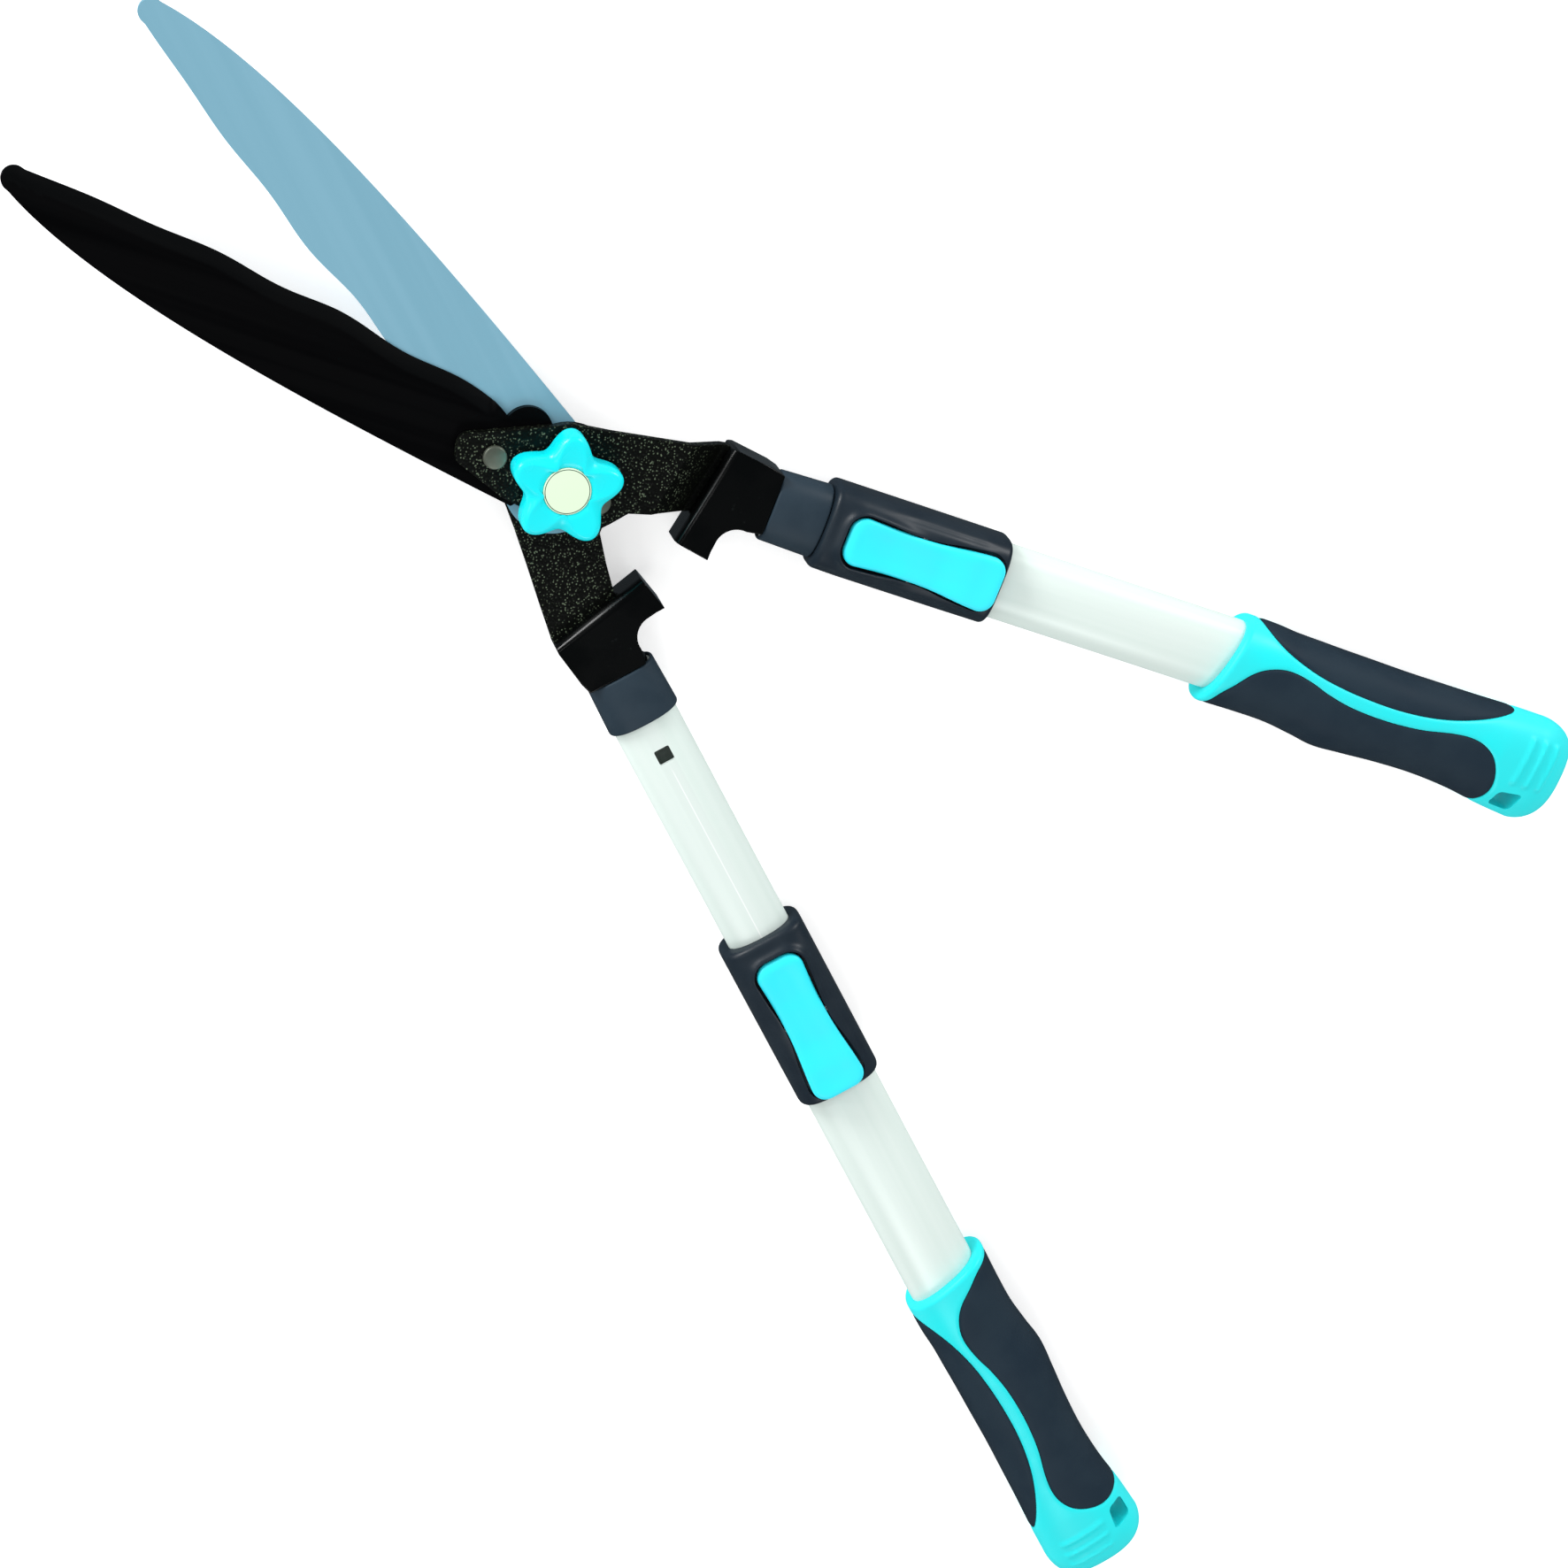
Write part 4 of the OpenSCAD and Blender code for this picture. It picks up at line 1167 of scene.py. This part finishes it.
# %% [markdown]
# ## The lock sleeve
# The sleeve is moulded over the outer tube's end. Its front is scooped down to the inner tube, and
# round the lever's nose a soft lip stands up that fades out at the waist. The body is a fine loft.
# The lip is made by lifting its points by how close they are to the lever's outline, and the pocket
# is cut last, so the lip's inner wall is crisp.

# %% Sleeve body
SLEEVE_FRONT, SLEEVE_BACK = 108.3, 185.8
SLEEVE_WIDE, SLEEVE_TOP, SLEEVE_LOW = 36.6, 15.6, 13.0
POCKET_GAP, WAIST_GAP, POCKET_FLOOR = 1.3, 0.5, 11.3
SLEEVE_POINTS, SLEEVE_STEP = 192, 0.7
FRONT_ROUND, BACK_ROUND = 2.4, 2.2
OUTER_BORE, INNER_BORE = (31.7, 21.1), (28.2, 17.6)


def sleeve_section(station, inset):
    """A rounded box section, lower on top at the scooped front."""
    scoop = 2.6 * (1 - fade(SLEEVE_FRONT, SLEEVE_FRONT + 13, station))
    scoop += 0.9 * fade(SLEEVE_BACK - 26, SLEEVE_BACK, station)
    section = []
    for x, z in oval(SLEEVE_WIDE - 2 * inset, 2, 0.6, SLEEVE_POINTS):
        tall = SLEEVE_TOP - scoop - inset if z > 0 else SLEEVE_LOW - inset
        section.append((x, -station, z * tall))
    return section


stages = [(SLEEVE_FRONT + FRONT_ROUND * along, FRONT_ROUND * inset)
          for along, inset in quarter_turn(6)]
station = SLEEVE_FRONT + FRONT_ROUND
while station < SLEEVE_BACK - BACK_ROUND - 1:
    station += SLEEVE_STEP
    stages.append((station, 0))
stages += [(SLEEVE_BACK - BACK_ROUND * before, BACK_ROUND * inset) for inset, before in quarter_turn(6)]
bore_stages = ((SLEEVE_BACK, OUTER_BORE), (OUTER_FRONT, OUTER_BORE),
               (OUTER_FRONT, INNER_BORE), (SLEEVE_FRONT, INNER_BORE))
sections = [sleeve_section(s, inset) for s, inset in stages]
sections += [across(oval(w, h, 0.82, SLEEVE_POINTS), s) for s, (w, h) in bore_stages]
sleeve = loft(sections, ring=True)

# %% Lip and flank creases
pocket_line = [Vector(p) for p in lever_outline(POCKET_GAP, WAIST_GAP)]
LIP_TALL, LIP_WIDE = 1.5, 1.5
CREASE_X, CREASE_DEEP = 14.6, 0.35


def distance_to(line, point):
    """Shortest distance from a point to a closed line."""
    best = 1e9
    for a, b in zip(line, line[1:] + line[:1]):
        ab = b - a
        t = min(1, max(0, (point - a).dot(ab) / max(ab.dot(ab), 1e-9)))
        best = min(best, (point - a - ab * t).length)
    return best


for vert in sleeve.verts:
    x, s, z = vert.co.x, -vert.co.y, vert.co.z
    if z < 8:
        continue
    nose = 1 - fade(PIN_STATION - 14, PIN_STATION + 4, s)
    if nose > 0:
        near = distance_to(pocket_line, Vector((x, s)))
        vert.co.z += LIP_TALL * nose * math.exp(-((near - 0.5) / LIP_WIDE) ** 2)
    flank = fade(PIN_STATION - 20, PIN_STATION, s) * (1 - fade(SLEEVE_BACK - 14, SLEEVE_BACK - 5, s))
    vert.co.z -= CREASE_DEEP * flank * math.exp(-((abs(x) - CREASE_X) / 0.9) ** 2)

outline = lever_outline(POCKET_GAP, WAIST_GAP, side_parts=40)
pocket = plate([(x, -s) for x, s in outline], POCKET_FLOOR, 24)
half_shaft = 3.1
shaft_front, shaft_back = LOCK_STATION - half_shaft, LOCK_STATION + half_shaft
shaft = plate([(-half_shaft, -shaft_back), (half_shaft, -shaft_back),
               (half_shaft, -shaft_front), (-half_shaft, -shaft_front)], 7, 12)
sleeve = combine(sleeve, pocket)
sleeve = combine(sleeve, shaft)
on_both_sides(sleeve, "sleeve", "slate_plastic", "lock_sleeve", smooth_angle=42)

# %% [markdown]
# ## The grips
# A grip has a hard cyan core with two softer slate pads moulded into it. All three share one outer
# surface: a loft through a few sections, with a skewed flare at the front and a swollen
# end. The smooth surface is made first, the three ribs at its end are lifted out of it, and then it
# is cut along the pads' outlines into core and pads.

# %% Grip sections: station, slant, inner side, outer side, half height
GRIP_SECTIONS = [
    (289.6, 0.24, -19.4, 17.2, 14.6), (291.8, 0.24, -21.2, 19.0, 16.4), (307, 0.12, -20.9, 18.8, 16.4),
    (319, 0.04, -21.2, 18.0, 16.1), (331, 0, -22.8, 17.7, 16.4), (342, 0, -24.4, 17.4, 16.7),
    (355, 0, -23.8, 17.2, 16.4), (372, 0, -22.8, 16.9, 15.9), (389, 0, -22.6, 17.0, 15.5),
    (406, 0, -23.8, 17.2, 15.1), (422, 0, -26.2, 17.6, 14.7), (436, -0.04, -27.8, 17.6, 14.0),
    (444.5, -0.10, -25.2, 15.2, 12.6), (450, -0.12, -18.5, 9.6, 9.8), (453, -0.12, -9.0, 1.0, 4.5),
]
GRIP_POINTS = 176
RIB_STATIONS, RIB_SLANT, RIB_MIDDLE, RIB_LONG = (430.0, 436.0, 442.0), 0.12, -0.5, 23.0
RIB_TALL, RIB_WIDE = 1.0, 1.2


def grip_section(values, inset=0.0):
    station, slant, inner_side, outer_side, half_tall = values
    width = outer_side - inner_side - 2 * inset
    points = oval(width, 2 * (half_tall - inset), 0.84, GRIP_POINTS)
    return across(points, station, slant), (inner_side + outer_side) / 2


def placed(values, inset=0.0, back=0.0):
    """A grip section at its own side offset, moved back by an amount."""
    section, centre = grip_section(values, inset)
    return [(x + centre, y - back, z) for x, y, z in section]


def grip_values():
    """The grip's sections, smoothed to one about every 0.9 mm, as far as its end starts."""
    inside = GRIP_SECTIONS[1:-3]
    values = []
    for index, (a, b) in enumerate(zip(inside, inside[1:])):
        parts = max(2, round((b[0] - a[0]) / 0.9))
        before, after = inside[max(0, index - 1)], inside[min(len(inside) - 1, index + 2)]
        for k in range(parts):
            t = k / parts
            values.append(tuple(
                0.5 * (2 * q + (r - p) * t + (2 * p - 5 * q + 4 * r - w) * t * t
                       + (3 * q - p - 3 * r + w) * t ** 3)
                for p, q, r, w in zip(before, a, b, after)
            ))
    return values + [inside[-1]]


def rib_lift(x, station):
    """How far a point of the end is lifted by the ribs."""
    lift = 0
    for rib in RIB_STATIONS:
        off = station - rib - RIB_SLANT * (x - RIB_MIDDLE)
        ends = 1 - fade(RIB_LONG / 2 - 2, RIB_LONG / 2, abs(x - RIB_MIDDLE))
        lift += RIB_TALL * ends * math.exp(-((off / RIB_WIDE) ** 4))
    return lift


# %% Grip surface
LIP_ROUND = 2.2
END_LONG, END_PARTS = 17, 24
rim = [placed(GRIP_SECTIONS[1], LIP_ROUND * inset, LIP_ROUND * along - LIP_ROUND)
       for along, inset in quarter_turn(6)]
station, slant, inner_side, outer_side, half_tall = GRIP_SECTIONS[-4]
end_sections = []
for k in range(1, END_PARTS + 1):
    a = math.radians(88) * k / END_PARTS
    middle, half = (inner_side + outer_side) / 2, (outer_side - inner_side) / 2
    middle += 0.9 * math.sin(a)
    half *= math.cos(a) ** 0.6
    end_sections.append(placed((
        station + END_LONG * math.sin(a), slant + 0.08 * math.sin(a),
        middle - half, middle + half, half_tall * math.cos(a) ** 0.75,
    )))


def build_grip():
    """The grip's whole outer surface as one solid, with its ribs."""
    front, slant = GRIP_SECTIONS[1][:2]
    mouth = across(oval(31.0, 20.6, 0.84, GRIP_POINTS), front - LIP_ROUND + 0.9, slant)
    sections = [mouth, *rim[:-1], *(placed(v) for v in grip_values()), *end_sections]
    bm = loft(sections)
    for vert in bm.verts:
        if vert.co.z > 4 and -vert.co.y > RIB_STATIONS[0] - 6:
            vert.co.z += rib_lift(vert.co.x, -vert.co.y)
    return bm


# %% Pad outlines
palm_line = smooth_curve([
    (-21, -289), (-14, -291), (-8, -295), (-1.4, -300), (2.6, -305.5), (4.8, -312.5), (4.8, -319.5),
    (3.2, -327.5), (0.8, -335.5), (-1.4, -347.5), (-2.2, -363.5), (-1.2, -379.5), (1.4, -393.5),
    (2.2, -402.5), (1, -409.5), (-2.6, -415.5), (-8.4, -419.3), (-15, -421), (-21, -420), (-28, -416),
], 8)
back_line = smooth_curve([
    (24, -298.5), (19.4, -300.5), (14.6, -307.5), (10.6, -316.5), (7, -329), (5, -342), (4, -355),
    (3.8, -368), (4.8, -381), (7, -393), (10.4, -404.5), (14.4, -415), (18.4, -423), (24, -428),
], 8)
palm_outline = [(-44, -284)] + palm_line + [(-44, -412)]
back_outline = [(40, -297)] + back_line + [(40, -430)]


def drawn_in(outline, amount):
    """A closed outline moved inwards by a small amount, whichever way round it runs."""
    area = sum(a[0] * b[1] - b[0] * a[1] for a, b in zip(outline, outline[1:] + outline[:1]))
    turn = math.copysign(1, area)
    moved = []
    for before, here, after in zip([outline[-1]] + outline[:-1], outline, outline[1:] + [outline[0]]):
        way = (Vector(after[:2]) - Vector(before[:2])).normalized()
        moved.append((here[0] - turn * way.y * amount, here[1] + turn * way.x * amount))
    return moved


# %% [markdown]
# Where a soft pad meets the hard core, both edges are slightly rounded and a fine dark seam lies
# between them. The cut faces stand upright, so a point's distance from the outline tells how far
# it is from the seam, and points nearer than a millimetre are drawn in a little.

# %% Cutting the grip
SEAM, EDGE_REACH, EDGE_SINK = 0.12, 1.3, 0.45
HOLE = [(-23, -423.5), (-16, -425), (-14.6, -436), (-23.6, -433.6)]
SCREW_STATION, CUT_HALF = 327.0, 30


def sink_edges(bm, lines):
    """Rounds a surface down towards the lines that it was cut along."""
    bm.normal_update()
    moves = []
    for vert in bm.verts:
        p = Vector((vert.co.x, vert.co.y))
        near = min((p - q).length for line in lines for q in line)
        if near < EDGE_REACH + 1:
            share = max(0, 1 - max(0, near - SEAM) / EDGE_REACH)
            moves.append((vert, share * share * EDGE_SINK))
    for vert, sink in moves:
        outward = Vector((vert.co.x * 0.6, 0, vert.co.z))
        if outward.length > 1:
            vert.co -= outward.normalized() * sink
    return bm


def dense(line):
    """A line with two more points between each two of its own."""
    points = []
    for a, b in zip(line, line[1:]):
        points += [a.lerp(b, k / 3) for k in range(3)]
    return points


def pad_cutter(outline, amount):
    """A tall plate with an outline drawn in, which cuts right through the grip."""
    return plate(drawn_in(outline, amount), -CUT_HALF, CUT_HALF)


def tube_bore():
    """The space that the outer tube takes up inside the grip."""
    return loft([across(oval(31.66, 21.06), s) for s in (280, 395.1)])


seams = [dense(palm_line), dense(back_line)]
hang_hole = round_corners(plate(HOLE, -CUT_HALF, CUT_HALF), 1.9, 5)
screw_hole = lathe([(0, -CUT_HALF), (3.9, -CUT_HALF), (3.9, -12), (0, -12)], (0, -SCREW_STATION), 40)

core = combine(build_grip(), joined(pad_cutter(palm_outline, -SEAM), pad_cutter(back_outline, -SEAM)))
core = combine(core, hang_hole)
core = combine(sink_edges(core, seams), tube_bore())
on_both_sides(core, "grip_core_moulded", "cyan_grip", "grip_core", smooth_angle=50)

palm = combine(build_grip(), pad_cutter(palm_outline, SEAM), "INTERSECT")
palm = combine(sink_edges(combine(palm, screw_hole), seams[:1]), tube_bore())
on_both_sides(palm, "palm_pad_moulded", "slate_rubber", "palm_pad", smooth_angle=50)

back = combine(build_grip(), pad_cutter(back_outline, SEAM), "INTERSECT")
back = combine(sink_edges(back, seams[1:]), tube_bore())
on_both_sides(back, "back_pad_moulded", "slate_rubber", "back_pad", smooth_angle=50)

# %% [markdown]
# The grip is held by one screw from below. It shows as a flat head with a cross recess.

# %% Grip screws
screw_low, screw_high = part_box("right_grip_screw")
head_z = screw_low.z / MM - handle_z
tip_z = screw_high.z / MM - handle_z
shoulder_z = head_z + 2.4
screw = lathe([(0, head_z), (3.1, head_z), (3.5, head_z + 0.4), (3.5, shoulder_z), (2, shoulder_z),
               (2, tip_z - 0.8), (1.2, tip_z), (0, tip_z)], steps=40)
arm, half = 2.1, 0.45
quarter = [(arm, -half), (arm, half), (half, half)]
cross = []
for turn in range(4):
    for x, y in quarter:
        for _ in range(turn):
            x, y = -y, x
        cross.append((x, y))
screw = combine(screw, plate(cross, head_z - 1, head_z + 1.2))
bmesh.ops.translate(screw, verts=screw.verts, vec=(0, -SCREW_STATION, 0))
on_both_sides(screw, "screw_turned", "zinc_steel", "grip_screw", smooth_angle=30)

# %% [markdown]
# ## Carried-over pieces
# The pieces inside, such as springs, pins, the knob's nut and the tube guides, keep their packed
# shape. They only get a finish. Their meshes have no "local" attribute, so they use finishes that
# read Object coordinates.

# %% Finishes of the carried-over pieces
INNER_STEEL = ["knob_nut"] + [
    f"{side}_{part}" for side in SIDES
    for part in ("connector_pins", "lever_pin", "lever_spring", "lock_pin")
]
INNER_PLASTIC = [f"{side}_tube_guide" for side in SIDES]
for names, material in ((INNER_STEEL, materials["zinc_steel"]), (INNER_PLASTIC, inner_plastic)):
    for name in names:
        mesh = frame["nodes"][name].data
        mesh.materials.clear()
        mesh.materials.append(material)
print("carried over:", len(INNER_STEEL) + len(INNER_PLASTIC), "nodes")

# %% [markdown]
# ## Camera
# The camera looks down on the shears from well above, tilted a little and rolled, so that the
# blades point to the upper left. A long lens from far away keeps the perspective gentle.

# %% Camera
CAMERA_AT = Vector((0.19721, 0.57373, 1.81235))
TILT, TILT_AXIS, ROLL = math.radians(23.124), math.radians(-58.622), math.radians(49.148)
tilt_axis = Vector((-math.sin(TILT_AXIS), math.cos(TILT_AXIS), 0))
world_to_camera = Matrix.Rotation(TILT, 3, tilt_axis) @ Matrix.Rotation(ROLL, 3, "Z")
camera_data = bpy.data.cameras.new("camera")
camera_data.sensor_width = 36
camera_data.lens = 110.65
camera_data.clip_end = 20
camera = bpy.data.objects.new("camera", camera_data)
bpy.context.scene.collection.objects.link(camera)
camera.matrix_world = Matrix.Translation(CAMERA_AT) @ world_to_camera.transposed().to_4x4()
bpy.context.scene.camera = camera
right_of_view, up_of_view, to_camera = world_to_camera[0], world_to_camera[1], world_to_camera[2]
print("camera", [round(v, 3) for v in camera.location])
print("looks along", [round(-v, 2) for v in to_camera])

# %% [markdown]
# ## Floor and light
# The floor is a plain pale sheet that the shears lie on. A pale sky gives even light, and five soft
# panels give the edges their highlights. Three are placed from the camera's own directions. The
# other two stand where the connectors' ridges and the sleeves' scooped fronts mirror them. Dark
# paint would turn grey if it mirrored a white room, so mirrored rays see a dim room instead.

# %% Floor
def dimmed_in_mirrors(tree, shown, kind, strength, output):
    """Shows one shader to the eye and a dim, cool one to mirrored rays."""
    dim = add(tree, kind)
    dim.inputs["Color"].default_value = (0.75, 0.9, 1, 1)
    dim.inputs["Strength"].default_value = strength
    rays = add(tree, "ShaderNodeLightPath")
    choose = add(tree, "ShaderNodeMixShader")
    wire(tree, rays.outputs["Is Glossy Ray"], choose.inputs[0])
    wire(tree, shown.outputs[0], choose.inputs[1])
    wire(tree, dim.outputs[0], choose.inputs[2])
    wire(tree, choose.outputs[0], tree.nodes[output].inputs["Surface"])


floor_z = cad_low.z - 0.0005
bm = bmesh.new()
bmesh.ops.create_grid(bm, x_segments=2, y_segments=2, size=6)
bmesh.ops.translate(bm, verts=bm.verts, vec=(0, 0, floor_z))
floor_mesh = bpy.data.meshes.new("floor")
bm.to_mesh(floor_mesh)
bm.free()
floor = bpy.data.objects.new("floor", floor_mesh)
bpy.context.scene.collection.objects.link(floor)
floor_material, tree, floor_shader = finish("floor", (0.93, 0.93, 0.93), 0.95, specular=0.0)
floor_shader.inputs["Emission Color"].default_value = (1, 1, 1, 1)
floor_shader.inputs["Emission Strength"].default_value = 0.42
dimmed_in_mirrors(tree, floor_shader, "ShaderNodeEmission", 0.12, "Material Output")
floor_mesh.materials.append(floor_material)

# %% Light
centre = Vector((0, -0.13, 0))


def soft_panel(name, direction, distance, size, power):
    """A round lamp that looks at the shears from a direction and a distance in metres."""
    light = bpy.data.lights.new(name, "AREA")
    light.shape = "DISK"
    light.size = size
    light.energy = power
    panel = bpy.data.objects.new(name, light)
    bpy.context.scene.collection.objects.link(panel)
    panel.location = centre + direction.normalized() * distance
    panel.rotation_mode = "QUATERNION"
    panel.rotation_quaternion = (centre - panel.location).to_track_quat("-Z", "Y")


soft_panel("upper_left", to_camera * 0.9 - right_of_view * 0.9 + up_of_view * 0.8, 2.2, 0.8, 26)
soft_panel("upper_right", to_camera * 0.7 + right_of_view * 1.1 + up_of_view * 0.7, 2.4, 0.7, 16)
soft_panel("below", to_camera * 0.6 - up_of_view * 1.2 + right_of_view * 0.2, 2.4, 0.9, 8)
soft_panel("ridge", Vector((-0.31, 0.84, 0.44)), 2.3, 0.3, 4)
soft_panel("scoop", Vector((-0.25, 0.45, 0.85)), 2.3, 0.35, 1.5)

world = bpy.data.worlds.new("studio")
bpy.context.scene.world = world
world.use_nodes = True
tree = world.node_tree
sky = tree.nodes["Background"]
sky.inputs["Color"].default_value = (1, 1, 1, 1)
sky.inputs["Strength"].default_value = 0.77
dimmed_in_mirrors(tree, sky, "ShaderNodeBackground", 0.07, "World Output")
bpy.context.scene.view_settings.view_transform = "Standard"
print("floor at", round(floor_z / MM, 1), "mm")

# %% Print the sizes and finish
print("cad", [round(v / MM, 1) for v in (*cad_low, *cad_high)])
